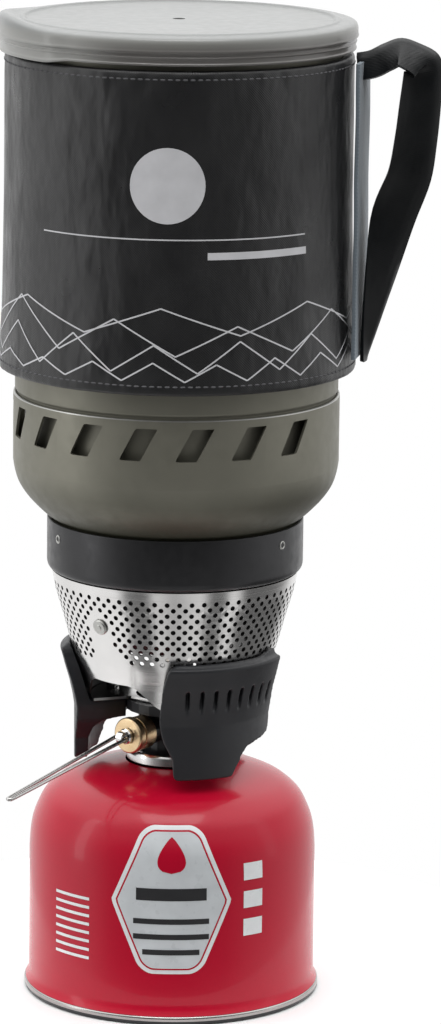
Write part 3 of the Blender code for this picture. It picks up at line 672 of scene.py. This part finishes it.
def panel(name, inset, lift, look):
    """The label's six-sided outline, moved in."""
    low, high = LABEL_HALF[0][1] + inset, LABEL_HALF[2][1] - inset
    rows = 60
    lines = []
    for j in range(rows + 1):
        share = 0.5 - 0.5 * math.cos(math.pi * j / rows)
        height = low + 0.01 + (high - low - 0.02) * share
        lines.append((height, label_half_width(height, inset)))
    on_wall(name, LABEL_AZIMUTH, lines, 40, lift, look)


def patch(name, azimuth, height, wide, tall, lift, look):
    """A plain printed rectangle."""
    lines = [(height + tall * (j / 4 - 0.5), wide / 2) for j in range(5)]
    on_wall(name, azimuth, lines, 10, lift, look)


def flame():
    """A plain drop at the top of the label."""
    steps = 16
    lines = []
    for k in range(steps + 1):
        share = k / steps
        half = FLAME_HALF * math.sin(math.pi * share**0.6) ** 0.8 if 0 < k < steps else 0.02
        lines.append((FLAME_LOW + (FLAME_HIGH - FLAME_LOW) * share, half))
    on_wall("label_flame", LABEL_AZIMUTH, lines, 2, LABEL_INK_LIFT, "crimson_paint")


def make_label():
    """A plain six-sided panel with a drop and bars, and plain squares and stripes beside it: no wording."""
    for name, inset, lift, look in LABEL_LAYERS:
        panel(name, inset, lift, look)
    for number, (height, wide, tall) in enumerate(LABEL_BARS, 1):
        patch(f"label_bar_{number}", LABEL_AZIMUTH, height, wide, tall, LABEL_INK_LIFT, "label_ink")
    for number in range(3):
        height = 57.5 - 10.5 * number
        patch(f"canister_square_{number + 1}", SQUARE_AZIMUTH, height, 8.2, 6.4, PRINT_LIFT, "label_white")
    for number in range(8):
        height = 46.0 - 3.2 * number
        patch(f"canister_bar_{number + 1}", STRIPE_AZIMUTH, height, 17.0, 1.1, PRINT_LIFT, "label_white")
    flame()


# ---------------- control valve and wire


def make_valve():
    place = axis_frame(VALVE_AZIMUTH, 0.0, VALVE_HEIGHT)
    front = [(1.95, 25.6), (3.4, 25.7, 0.1), (6.2, 25.7, 0.3), (6.7, 25.2, 0.3), (6.7, 22.9, 0.3)]
    waist = [(6.4, 22.4, 0.2), (5.6, 22.3, 0.1), (5.6, 21.7, 0.1)]
    rear = [(6.2, 21.6, 0.2), (6.2, 16.1, 0.4), (5.3, 16.1), (5.3, 18.7), (1.95, 18.7)]
    profile = rounded(front + waist + rear)
    knob = turned("brass_knob", profile, "brass", "knob", facets=MEDIUM, place=place)
    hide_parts("control_knob")


def make_wire():
    """A hairpin of drawn wire whose ends turn in to form the pivot."""
    bend = [(0.9 - 0.9 * math.cos(a), 1.7 + 0.9 * math.sin(a)) for a in (0.0, 0.5, 1.05, 1.57)]
    half = [(0.0, 0.95), (0.0, 1.4)] + bend
    half += [(WIRE_LENGTH * s, 2.6 - 1.75 * s) for s in (0.1, 0.25, 0.4, 0.55, 0.7, 0.85, 0.95)]
    tip = []
    for k in range(7):
        angle = math.radians(70 - 140 * k / 6)
        tip.append((WIRE_LENGTH - 0.85 + 0.85 * math.cos(angle), 0.85 * math.sin(angle)))
    path = half + tip + [(x, -y) for x, y in reversed(half)]
    place = axis_frame(VALVE_AZIMUTH, WIRE_PIVOT, VALVE_HEIGHT)
    place = place @ Matrix.Rotation(math.radians(WIRE_DROOP), 4, "X")
    points = [place @ Vector((y, 0.0, x)) for x, y in path]
    obj = wire("hairpin_wire", points, 0.7, "wire_steel", "wire_handle", "stainless")
    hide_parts("wire_handle")


# ---------------- legs

LEG_AZIMUTHS = (32.5, -113.5, 141.0)
LEG_SPREADS = (1.0, -1.0, 0.46)
# Outline of a wing as (degrees round, height, rounding), and its turned section as (radius, height).
LEG_OUTLINE = [(-31.0, 88.8, 2), (4.0, 88.8, 1.5), (6.5, 91.5, 1), (11.2, 96.4, 1), (15.2, 99.1, 2)]
LEG_OUTLINE += [(22.8, 100.3, 1), (32.4, 101.2, 2), (38.6, 102.4, 2.5), (40.6, 107.0, 2), (40.8, 113.3, 2)]
LEG_OUTLINE += [(38.5, 119.9, 2), (37.0, 129.0, 2), (35.6, 134.6, 3.0), (30.0, 134.4, 2.5), (22.0, 132.8, 3)]
LEG_OUTLINE += [(-31, 132.8, 2), (-35, 130.4, 2), (-39.4, 115.8, 3), (-40.0, 110.0, 2), (-38.5, 105.1, 2)]
LEG_SECTION = [(40.2, 135.6), (40.2, 132.4), (41.0, 131.9), (41.6, 131.6), (42.1, 131.4), (42.1, 130.4)]
LEG_SECTION += [(41.7, 129.2), (41.1, 127.0), (40.6, 125.0), (38.8, 119.0), (37.5, 113.0), (36.9, 109.0)]
LEG_SECTION += [(36.8, 88.0), (32.0, 88.0), (31.6, 97.0), (30.0, 101.2), (27.0, 103.6), (22.0, 104.6)]
LEG_SECTION += [(18.1, 105.0), (18.1, 111.6), (31.9, 111.6), (32.4, 113.0), (34.2, 119.0), (36.0, 125.0)]
LEG_SECTION += [(37.9, 130.5), (39.2, 135.6)]
GROOVE_FIRST = 31.0
GROOVE_PITCH = 7.9
GROOVE_LEAN = -13.0


def make_leg(number):
    """A wing leg: its turned section cut by its outline, with grooves, then softened all over."""
    azimuth = LEG_AZIMUTHS[number - 1]
    spread = LEG_SPREADS[number - 1]
    leg = turned(f"moulded_leg_{number}", LEG_SECTION, "dark_plastic", None)
    middle = 30.0
    outline = [(middle * math.tan(math.radians(spread * a)), z) for a, z in rounded(LEG_OUTLINE)]
    points = [(x * share, z, middle * (share - 1)) for share in (0.2, 1.8) for x, z in outline]
    count = len(outline)
    caps = [tuple(range(count)), tuple(count + i for i in reversed(range(count)))]
    place = axis_frame(azimuth, middle)
    wedge = ([place @ Vector(p) for p in points], caps + tube_faces(2, count))
    boolean(leg, cutter_of([wedge]), "INTERSECT")
    grooves = []
    lean = Matrix.Rotation(math.radians(GROOVE_LEAN), 4, "X")
    slot = rounded([(-0.7, -8.0, 0.7), (0.7, -8.0, 0.7), (0.7, 8.0, 0.7), (-0.7, 8.0, 0.7)])
    for i in range(round(8 * abs(spread))):
        angle = azimuth + GROOVE_FIRST * spread - math.copysign(GROOVE_PITCH, spread) * i
        grooves.append(prism(slot, axis_frame(angle, 38.9, 114.5) @ lean, -1.35, 3.0))
    cut_away(leg, grooves)
    screw = prism(circle(1.55, 16), Matrix.Translation(direction(azimuth) * 25.0), 107.5, 115.0)
    cut_away(leg, [screw])
    soften(leg, 0.42, 3)
    finish_piece(leg, "dark_plastic", "stove", sharp=60.0)
    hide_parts(f"wing_leg_{number}")


def soften(obj, voxel, passes):
    """Rounds every edge of a moulding: an even remesh that is then relaxed."""
    remesh = obj.modifiers.new("even_mesh", "REMESH")
    remesh.mode = "VOXEL"
    remesh.voxel_size = voxel * MM
    relax = obj.modifiers.new("relax", "SMOOTH")
    relax.factor = 0.6
    relax.iterations = passes
    bake(obj)


# ---------------- burner

SHELL_PROFILE = [(31.6, 113.35), (33.7, 122.2), (37.3, 130.3), (38.7, 134.8), (41.2, 143.9), (43.9, 153.0)]
SHELL_PROFILE += [(45.5, 160.9)]
HOLES_ROUND = 62
HOLE_RADIUS = 0.92
HOLE_ROWS = 12
HOLE_LOW = 132.6
HOLE_STEP = 2.16
BLANK_RADIUS = 5.4
BLANK_TOP = 143.0


def shell_radius(height):
    return lookup([(z, r) for r, z in SHELL_PROFILE], height)


def angle_from(azimuth, centre):
    return (azimuth - centre + 180.0) % 360.0 - 180.0


def shell_bottom(azimuth):
    """Lower edge of the shell: down to the base plate, but raised over the three gaps."""
    away = min(abs(angle_from(azimuth, gap)) for gap in SHELL_GAP_AZIMUTHS)
    return lookup([(0.0, 122.6), (17.0, 122.6), (20.5, 121.2), (28.3, 117.2), (35.0, 113.35)], away)


def is_blank(azimuth, height):
    """True on the plain panel round the rivet."""
    away = angle_from(azimuth, RIVET_AZIMUTH)
    across = math.radians(away) * shell_radius(height)
    if math.hypot(across, height - RIVET_HEIGHT) < BLANK_RADIUS:
        return True
    right = lookup([(130.0, 17.5), (134.6, 12.5), (137.0, 10.0), (139.5, 7.0), (BLANK_TOP, 8.0)], height)
    return height < BLANK_TOP and -9.5 < away < right


def make_shell():
    """Perforated cone: a lattice of diamonds, most with a round hole, and plain bands."""
    points = []
    faces = []
    index = {}

    def corner(i, j):
        """A lattice point; i counts half pitches round, j counts rows."""
        i %= 2 * HOLES_ROUND
        if (i, j) not in index:
            height = HOLE_LOW + HOLE_STEP * j
            index[(i, j)] = len(points)
            points.append(on_round(180.0 * i / HOLES_ROUND, shell_radius(height), height))
        return index[(i, j)]

    def open_diamond(i, j):
        height = HOLE_LOW + HOLE_STEP * j
        azimuth = 180.0 * i / HOLES_ROUND
        corners = [corner(i + 1, j), corner(i, j + 1), corner(i - 1, j), corner(i, j - 1)]
        round_points = []
        for x, y in circle(HOLE_RADIUS, 12):
            z = height + y
            turn = math.degrees(x / shell_radius(height))
            round_points.append(len(points))
            points.append(on_round(azimuth + turn, shell_radius(z), z))
        for k in range(4):
            arc = [round_points[(3 * k + m) % 12] for m in (3, 2, 1, 0)]
            faces.append((corners[k], corners[(k + 1) % 4], *arc))

    for j in range(HOLE_ROWS):
        for i in range(2 * HOLES_ROUND):
            if (i + j) % 2:
                continue
            if is_blank(180.0 * i / HOLES_ROUND, HOLE_LOW + HOLE_STEP * j):
                faces.append((corner(i + 1, j), corner(i, j + 1), corner(i - 1, j), corner(i, j - 1)))
            else:
                open_diamond(i, j)
    join_band(points, faces, corner, HOLE_ROWS - 1, 1)
    join_band(points, faces, corner, 0, -1)
    shell = piece("perforated_cone", points, faces, "stainless", None, sharp=30.0, closed=False)
    thicken(shell, 0.6)
    finish_piece(shell, "stainless", "stove", sharp=30.0)
    shell.data.materials.append(LOOKS["heat_tinted"])
    for face in shell.data.polygons:
        outward = Vector((face.center.x, face.center.y, 0.0)).normalized()
        face.material_index = 0 if face.normal.dot(outward) > 0.3 else 1
    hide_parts("perforated_shell")


def join_band(points, faces, corner, row, step):
    """Plain band beyond the first or last row of holes."""
    edge = row + step
    ring = [i for i in range(2 * HOLES_ROUND) if (i + row) % 2 == 0]
    for i in ring:
        faces.append((corner(i, edge), corner(i + 1, row), corner(i + 2, edge)))
    previous = [corner(i, edge) for i in ring]
    start = HOLE_LOW + HOLE_STEP * edge
    levels = 3 if step > 0 else 8
    for level in range(1, levels + 1):
        current = []
        for i in ring:
            azimuth = 180.0 * i / HOLES_ROUND
            end = SHELL_PROFILE[-1][1] if step > 0 else shell_bottom(azimuth)
            height = start + (end - start) * level / levels
            current.append(len(points))
            points.append(on_round(azimuth, shell_radius(height), height))
        for k in range(len(ring)):
            n = (k + 1) % len(ring)
            faces.append((previous[k], previous[n], current[n], current[k]))
        previous = current


def thicken(obj, thickness):
    """Gives an open surface a real thickness."""
    clean(obj.data, weld=False)
    solid = obj.modifiers.new("thickness", "SOLIDIFY")
    solid.thickness = thickness * MM
    solid.offset = -1.0
    bake(obj)


def make_rivet():
    place = axis_frame(RIVET_AZIMUTH, 41.75, RIVET_HEIGHT) @ Matrix.Rotation(math.radians(16.5), 4, "X")
    button = [(0, 1.15), (0.9, 1.15, 0.3), (1.2, 0.9, 0.2), (2.3, 0.95, 0.3), (3.0, 0.7, 0.4)]
    profile = rounded(button + [(3.0, 0.0), (0, 0.0)], closed=False)
    rivet = turned("cone_rivet", profile, "aluminium", "stove", "stainless", 48, closed=False, place=place)
    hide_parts("shell_rivet")


DETENT_RADIUS = 1.3
DETENT_LIP = 0.36


def make_collar():
    outer = [(47.2, 180.5, 0.4), (47.2, 163.4, 1.2), (46.5, 161.9, 0.8), (45.2, 161.25, 0.5)]
    inner = [(43.6, 161.25), (43.6, 162.15), (45.0, 162.2), (46.0, 163.6), (46.0, 180.5, 0.4)]
    collar = turned("collar_band", rounded(outer + inner), "dark_steel", "stove")
    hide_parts("collar_ring")
    ring = [(DETENT_RADIUS + x, -y) for x, y in circle(DETENT_LIP, 12)]
    for number in range(3):
        place = axis_frame(56.0 + 120.0 * number, 47.15, 175.2)
        name = f"collar_detent_{number + 1}"
        turned(name, ring, "aluminium", "stove", "dark_steel", 32, place=place)


# ---------------- pot


def make_vessel():
    inner = [(0, 206.7), (52.0, 206.7, 1.8), (54.3, 209.4, 1.8), (54.3, 227.9), (57.4, 228.8), (58.0, 229.8)]
    rim = [(58, 356, 0.5), (58.7, 356.6, 0.4), (60.3, 356.6, 0.5), (61.1, 356.1, 0.5), (61.3, 355.2, 0.5)]
    outer = [(60.9, 354.2, 0.5), (59.2, 353.4, 0.5), (59.2, 228.7, 0.4), (58.5, 227.8, 0.3)]
    bottom = [(58.35, 225.2, 0.4), (55.5, 224.9, 0.5), (55.5, 208.9, 2.2), (52.6, 205.5, 2.2), (0, 205.5)]
    profile = rounded(inner + rim + outer + bottom, closed=False)
    vessel = turned("pot_wall", profile, "olive_aluminium", "pot", closed=False)
    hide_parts("pot_vessel")


SLOT_COUNT = 16
SLOT_FIRST = 46.0
SLOT_PITCH = 19.55
SLOT_LOW, SLOT_HIGH = 212.0, 223.9
# Above this height the shroud's top edge takes the lighter aluminium look: a painted highlight along the
# rim.
SHROUD_HIGHLIGHT_RIM = 226.5


def slot_outline():
    """A leaning slot with round corners."""
    lean = 3.15
    half = 3.95
    corners = [(-half - lean, SLOT_LOW, 1.3), (half - lean, SLOT_LOW, 0.6)]
    corners += [(half + lean, SLOT_HIGH, 0.5), (-half + lean, SLOT_HIGH, 0.8)]
    return rounded(corners)


def make_shroud():
    curve = [(59.8, 202.0), (59.1, 198.0), (57.6, 193.6), (54.5, 189.0), (50.3, 184.6), (47.6, 182.2)]
    bowl = [tuple(p) for p in spline(curve, 5)]
    lip = [(59.3, 227.2), (59.7, 227.0), (59.8, 226.6)]
    outer = lip + bowl + [(45.7, 181.0), (45.4, 180.2), (45.4, 166.0)]
    inner = [(44.4, 166.0), (44.4, 180.9)] + [(r - 0.9, z + 0.5) for r, z in reversed(bowl)]
    inner += [(58.8, 203.0), (58.8, 227.0)]
    shroud = turned("pot_skirt", outer + inner, "olive_aluminium", None)
    outline = slot_outline()
    solids = [prism(outline, axis_frame(SLOT_FIRST - SLOT_PITCH * k), 56.0, 63.0) for k in range(SLOT_COUNT)]
    cut_away(shroud, solids)
    finish_piece(shroud, "olive_aluminium", "pot", sharp=40.0)
    shroud.data.materials.append(LOOKS["aluminium"])
    # Painted highlight: the rim's top faces take the lighter aluminium look.
    for face in shroud.data.polygons:
        face.material_index = 1 if face.center.z > (SHROUD_HIGHLIGHT_RIM - FLOOR) * MM else 0
    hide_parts("heat_exchanger_shroud")


COSY_PROFILE = [(236.8, 65.4), (238.5, 65.6), (241.5, 65.4), (258.0, 64.3), (300.0, 63.6), (350.0, 63.5)]
COSY_PROFILE += [(352.0, 63.3)]
COSY_INSIDE = 59.7
COSY_LOW, COSY_HIGH = 236.8, 351.9


def cosy_radius(azimuth, height):
    """Outer surface of the cosy, with soft puckers that grow towards the stitched hems."""
    base = lookup(COSY_PROFILE, height)
    near_hem = math.exp(-abs(height - 240.0) / 7.0) + math.exp(-abs(height - 349.0) / 7.0)
    where = on_round(azimuth, 1.0, height * 0.006) * 3.0
    slow = noise.noise(where)
    quick = noise.noise(on_round(azimuth, 1.0, height * 0.004) * 26.0)
    return base - 0.25 + 0.22 * slow + 0.28 * near_hem * quick


def make_cosy():
    edge = [(COSY_LOW, 0.9), (237.1, 0.25), (237.8, 0.0)]
    middle = [(239.0 + 2.0 * k, 0.0) for k in range(56)]
    wall = edge + middle + [(350.6, 0.0), (351.4, 0.25), (COSY_HIGH, 0.9)]
    outer = [(lookup(COSY_PROFILE, height) - pull, height) for height, pull in wall]
    inner = [(COSY_INSIDE, COSY_HIGH - 0.4), (COSY_INSIDE, 295.0), (COSY_INSIDE, COSY_LOW + 0.4)]

    def puckered(azimuth, r, z):
        return (r if r == COSY_INSIDE else r + cosy_radius(azimuth, z) - lookup(COSY_PROFILE, z)), z

    profile = outer + inner
    cosy = turned("cosy_sleeve", profile, "cosy_fabric", "pot", facets=240, shape=puckered, sharp=60.0)
    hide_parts("insulating_cosy")
    for name, height in (("cosy_top_stitching", 348.8), ("cosy_hem_stitching", 240.2)):
        make_stitches(name, height)


def make_stitches(name, height):
    """A line of short thread stitches sunk into the cosy."""
    count = 150
    points = []
    faces = []
    for j in range(count):
        centre = 360.0 * j / count
        start = len(points)
        for share, thick in ((-1.0, 0.08), (-0.6, 0.28), (0.6, 0.28), (1.0, 0.08)):
            azimuth = centre + share * 0.82
            radius = cosy_radius(azimuth, height) + 0.02
            for side, lift in ((-1, 0), (0, 1), (1, 0), (0, -1)):
                points.append(on_round(azimuth, radius + lift * thick, height + side * thick * 1.3))
        faces += tube_faces(4, 4, start)
        faces.append(tuple(start + i for i in (3, 2, 1, 0)))
        faces.append(tuple(start + 12 + i for i in range(4)))
    piece(name, points, faces, "thread", "pot", "cosy_fabric", 60.0)


ROUNDEL_PLACE = (-3.0, 311.5)
ROUNDEL_RADIUS = 13.5
COSY_MEAN_RADIUS = 63.8
COSY_FOOT_RADIUS = 64.3


def on_cosy(azimuth, height):
    """A place for print, just outside the cosy."""
    return on_round(azimuth, cosy_radius(azimuth, height) + PRINT_LIFT, height)


PRINT_FOOT, PRINT_TOP = 238.0, 268.0


def make_print():
    """A printed trim of plain crossing zigzag lines round the lower part of the cosy."""
    points = []
    faces = []
    # Each layer: count of peaks, turn in degrees, height of its low points, rise to its peaks.
    layers = [(9, 0.0, 13.0, 17.0), (13, 7.0, 7.0, 13.0), (7, 21.0, 20.0, 19.0), (18, 3.0, 4.0, 8.0)]
    for count, shift, rise, depth in layers:
        steps = count * 2
        knots = []
        for i in range(steps + 1):
            uneven = noise.noise(Vector((i % steps * 1.7, count * 3.1, 0.0)))
            height = PRINT_FOOT + rise + (depth if i % 2 else 0.0) * (0.75 + 0.5 * uneven)
            knots.append((shift + 360.0 * i / steps, min(height, PRINT_TOP)))
        for (a0, z0), (a1, z1) in zip(knots, knots[1:]):
            stroke(points, faces, a0, z0, a1, z1)
    piece("cosy_print", points, faces, "print", "pot", "cosy_fabric", closed=False)


def make_roundel():
    """A plain printed disc on the front of the cosy, with two plain bars under it."""
    points = []
    rings, spokes = 6, 48
    for j in range(rings, -1, -1):
        for x, y in circle(ROUNDEL_RADIUS * j / rings, spokes):
            azimuth = ROUNDEL_PLACE[0] + math.degrees(x / COSY_MEAN_RADIUS)
            points.append(on_cosy(azimuth, ROUNDEL_PLACE[1] + y))
    faces = tube_faces(rings + 1, spokes)
    stroke(points, faces, -48.0, 292.4, 45.5, 292.4, 0.5)
    stroke(points, faces, 10.0, 286.6, 46.0, 286.6, 2.6)
    piece("cosy_roundel", points, faces, "print", "pot", "cosy_fabric", closed=False)


def stroke(points, faces, a0, z0, a1, z1, width=0.55):
    """One printed line between two places on the cosy."""
    along = Vector((math.radians(a1 - a0) * COSY_FOOT_RADIUS, z1 - z0))
    across = Vector((-along.y, along.x)).normalized() * width / 2
    pieces = max(2, int(along.length / 1.5))
    for k in range(pieces + 1):
        t = k / pieces
        for side in (-1, 1):
            azimuth = a0 + (a1 - a0) * t + math.degrees(across.x * side / COSY_FOOT_RADIUS)
            height = z0 + (z1 - z0) * t + across.y * side
            points.append(on_cosy(azimuth, height))
        if k:
            a = len(points) - 4
            faces.append((a, a + 1, a + 3, a + 2))


SPOUT_AZIMUTH = -80.0
SPOUT_HALF_ANGLE = 44.0
SPOUT_SHOULDER = 12.0
SPOUT_REACH = 1.5
SPOUT_RISE = 3.0
SPOUT_DIP = 1.3
LID_RIM = 58.0
LID_FOOT, LID_SKIRT, LID_SHOULDER, LID_TOP = 353.6, 356.0, 358.2, 364.3


def lid_shape(azimuth, r, z):
    """Bulges the lid's rim into a pouring lip that reaches further up and down."""
    away = abs(angle_from(azimuth, SPOUT_AZIMUTH))
    if r < LID_RIM or away >= SPOUT_HALF_ANGLE:
        return r, z
    bulge = min(1.0, (SPOUT_HALF_ANGLE - away) / SPOUT_SHOULDER)
    bulge = bulge * bulge * (3 - 2 * bulge)
    outward = min(1.0, (r - LID_RIM) / 4.0)
    reach = SPOUT_REACH * bulge * outward
    if z < LID_SKIRT:
        return r + reach, z - SPOUT_DIP * bulge * (LID_SKIRT - z) / (LID_SKIRT - LID_FOOT)
    peak = math.cos(math.pi / 2 * away / SPOUT_HALF_ANGLE) ** 2
    raised = max(0.0, (z - LID_SHOULDER) / (LID_TOP - LID_SHOULDER))
    return r + reach, z + SPOUT_RISE * peak * outward * raised


def make_lid():
    top = [(0, 363.5), (55.4, 363.5, 0.4), (56.3, 364.3, 0.4), (57.5, 364.3, 0.5), (58.5, 363.7, 0.5)]
    rim = [(61.6, 363.7, 1.0), (63.7, 363.1, 1.0), (64.3, 361.8, 0.8)]
    skirt = [(64.4, 359.3, 0.3), (64.6, 358.7, 0.3), (64.4, 358.1, 0.3), (63.7, 357.9, 0.3)]
    skirt += [(63.6, 356.9, 0.2), (64.1, 356.5, 0.3), (63.6, 356.0, 0.2), (63.5, 354.6, 0.3)]
    inside = [(63.9, 354.2, 0.2), (63.7, 353.6, 0.2), (62.2, 353.6, 0.3), (61.8, 354.2), (61.7, 357.0)]
    plug = [(57.6, 357), (57.6, 351.5, 0.4), (56.7, 351.5, 0.4), (56.4, 358), (54, 362.1, 1), (0, 362.1)]
    profile = rounded(top + rim + skirt + inside + plug, closed=False)
    lid = turned("frosted_lid", profile, "frosted_plastic", None, closed=False, shape=lid_shape)
    hole = prism(circle(2.3, 32), Matrix.Translation((-0.4, -1.0, 0.0)), 350.0, 370.0)
    cut_away(lid, [hole])
    finish_piece(lid, "frosted_plastic", "lid", sharp=40.0)
    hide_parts("lid")


# ---------------- strap handle

# Outer fold of the strap from the top anchor to the bottom one:
# distance from the axis, height, half width, how far each half is opened out, and the curl of its edge.
STRAP = [
    (64.9, 352.6, 10.5, 14.0, 0.0), (69.6, 353.6, 11.0, 20.0, 0.0), (74.6, 356.2, 11.5, 28.0, 0.0),
    (81.0, 358.4, 12.0, 38.0, 0.0), (88.0, 356.4, 12.5, 36.0, 0.0), (93.2, 353.8, 13.5, 28.0, 0.0),
    (95.2, 350.2, 14.6, 18.0, 0.5), (95.4, 345.0, 15.0, 13.0, 2.0), (94.9, 335.0, 15.6, 13.0, 3.0),
    (93.8, 322.0, 16.2, 13.0, 2.5), (91.8, 308.0, 17.0, 13.0, 1.5), (86.4, 293.0, 17.5, 14.0, 0.5),
    (81.2, 277.0, 14.0, 28.0, 0.0), (76.2, 262.0, 9.5, 38.0, 0.0), (72.6, 251.0, 6.0, 50.0, 0.0),
    (70.4, 244.5, 4.2, 70.0, 0.0), (69.6, 241.5, 4.0, 84.0, 0.0),
]
STRAP_THICKNESS = 1.5
FOLD_GAP = 1.2
FOLD_SOFTNESS = 0.02
CURL_START = 0.55


def handle_place():
    """In the handle's upright plane: local X outwards, local Y up, local Z sideways."""
    return axis_frame(HANDLE_AZIMUTH) @ Matrix.Rotation(math.radians(-90), 4, "Y")


def strap_sections(line):
    """Cross-sections of a strap that is folded lengthwise like a gutter."""
    place = handle_place()
    sections = []
    steps = 12
    for i, (r, z, half, opened, curl) in enumerate(line):
        before = line[max(i - 1, 0)]
        after = line[min(i + 1, len(line) - 1)]
        ahead = Vector((after[0] - before[0], after[1] - before[1], 0.0)).normalized()
        inner = Vector((ahead.y, -ahead.x, 0.0))
        spread = math.radians(opened)
        front = []
        back = []
        for k in range(steps + 1):
            u = 2 * k / steps - 1
            bend = math.sqrt(u * u + FOLD_SOFTNESS) - math.sqrt(FOLD_SOFTNESS)
            depth = half * bend * math.cos(spread)
            wide = half * u * math.sin(spread)
            wide += math.copysign(min(abs(u) * 6, 1.0), u) * FOLD_GAP * math.cos(spread)
            wide += math.copysign(curl * max(0.0, abs(u) - CURL_START) ** 2 / 0.2, u)
            centre = Vector((r, z, 0.0)) + inner * depth + Vector((0, 0, wide))
            slope = Vector((0, 0, math.cos(spread))) * (1 if u > 0 else -1 if u < 0 else 0)
            normal = (slope - inner * math.sin(spread)).normalized() if k != steps // 2 else -inner
            front.append(place @ (centre + normal * STRAP_THICKNESS / 2))
            back.append(place @ (centre - normal * STRAP_THICKNESS / 2))
        sections.append(front + list(reversed(back)))
    return sections


def make_strap():
    strap = loft("folded_strap", strap_sections(spline(STRAP, 5)), "strap_fabric", None)
    finish_piece(strap, "strap_fabric", None, sharp=50.0)
    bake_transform(strap)
    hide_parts("handle_leg_strap", "handle_top_strap", "handle_anchor_top", "handle_anchor_bottom")


STRIP_FOOT = 243.5
STRIP_LENGTH = 107.0


def make_strip():
    """Flat grey webbing sewn up the side of the cosy."""
    place = axis_frame(HANDLE_AZIMUTH)
    sections = []
    for k in range(41):
        height = STRIP_FOOT + STRIP_LENGTH * k / 40
        ease = 0.3 * noise.noise(Vector((height * 0.05, 0, 0)))
        outline = rounded([(-12, -1.5, 0.5), (12, -1.5, 0.5), (12, 0, 0.5), (-12, 0, 0.5)], True, 2)
        sections.append([place @ Vector((x, height, STRIP_FACE + d + ease)) for x, d in outline])
    strip = loft("grey_strip", sections, "grey_webbing", "pot")
    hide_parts("handle_backing_strip")


# ---------------- stage


def make_camera():
    tilt = Matrix.Rotation(math.radians(90.0 - CAMERA_TILT), 4, "X")
    roll = Matrix.Rotation(math.radians(CAMERA_ROLL), 4, "Z")
    data = bpy.data.cameras.new("camera")
    data.lens = CAMERA_LENS
    data.clip_end = 100.0
    camera = add_object("camera", data)
    place = to_scene(Vector(CAMERA_TARGET) + tilt.col[2].xyz * CAMERA_DISTANCE)
    camera.matrix_world = Matrix.Translation(place) @ tilt @ roll
    bpy.context.scene.camera = camera


def area_light(name, place, aim, width, height, power):
    data = bpy.data.lights.new(name, "AREA")
    data.shape = "RECTANGLE"
    data.size = width
    data.size_y = height
    data.energy = power
    lamp = add_object(name, data)
    lamp.location = place
    lamp.rotation_euler = (Vector(place) - Vector(aim)).to_track_quat("Z", "Y").to_euler()


def make_stage():
    middle = Vector((0.0, FLOOR_BEHIND, FLOOR))
    rim = [middle + direction(3.0 * k) * FLOOR_RADIUS for k in range(120)]
    floor = new_object("floor", rim, [tuple(range(120))], weld=False, outwards=False)
    floor.data.materials.append(floor_look())
    bpy.context.scene.world = studio_world()
    aim = (0.0, 0.0, 0.2)
    area_light("left_softbox", (-1.15, -0.25, 0.42), aim, 0.22, 1.1, 1.4)
    area_light("right_softbox", (1.2, -0.1, 0.45), aim, 0.25, 1.1, 0.35)
    area_light("top_softbox", (0.0, -0.45, 1.6), aim, 1.0, 0.6, 7.5)


def ramp(nodes, factor, stops):
    """Brightness against azimuth, as a colour ramp."""
    node = nodes.tree.nodes.new("ShaderNodeValToRGB")
    nodes.join(factor, node.inputs[0])
    elements = node.color_ramp.elements
    while len(elements) < len(stops):
        elements.new(0.5)
    for element, (azimuth, _) in zip(elements, stops):
        element.position = azimuth / 360.0 + 0.5
    for element, (_, level) in zip(elements, stops):
        element.color = (level, level, level, 1.0)
    return node.outputs[0]


def studio_world():
    """A bright tent, dark in front and with a few dark strips below; seen directly it is plain and pale."""
    world = bpy.data.worlds.new("studio")
    world.use_nodes = True
    nodes = Nodes(world.node_tree, "Generated")
    height = nodes.split()[2]
    turn = nodes.remap(nodes.azimuth(), -math.pi, math.pi)
    above = nodes.remap(height, -0.42, -0.3, smooth=True)
    walls = nodes.blend_colours(above, ramp(nodes, turn, STUDIO_BELOW), ramp(nodes, turn, STUDIO_ROUND))
    ceiling = nodes.remap(height, 0.25, 0.85, 0.0, STUDIO_CEILING, smooth=True)
    shown = nodes.tree.nodes.new("ShaderNodeMix")
    nodes.join(nodes.tree.nodes.new("ShaderNodeLightPath").outputs["Is Camera Ray"], shown.inputs["Factor"])
    nodes.join(nodes.math("ADD", walls, ceiling), shown.inputs["A"])
    shown.inputs["B"].default_value = BACKDROP
    background = nodes.tree.nodes["Background"]
    background.inputs["Color"].default_value = (1, 1, 1, 1)
    nodes.join(shown.outputs["Result"], background.inputs["Strength"])
    return world


def dress_frame():
    """Gives every CAD node that still shows its slot's material."""
    slots = {entry["node"]: entry["material_slot"] for entry in frame["record"]["subparts"]}
    for name, node in frame["nodes"].items():
        node.data.materials.clear()
        node.data.materials.append(LOOKS[slots[name]])


def build():
    make_camera()
    make_canister()
    make_label()
    make_valve()
    make_wire()
    for number in (1, 2, 3):
        make_leg(number)
    make_shell()
    make_rivet()
    make_collar()
    make_vessel()
    make_shroud()
    make_cosy()
    make_print()
    make_roundel()
    make_lid()
    make_strap()
    make_strip()
    dress_frame()
    make_stage()
    bpy.context.scene.view_settings.view_transform = "Standard"


build()
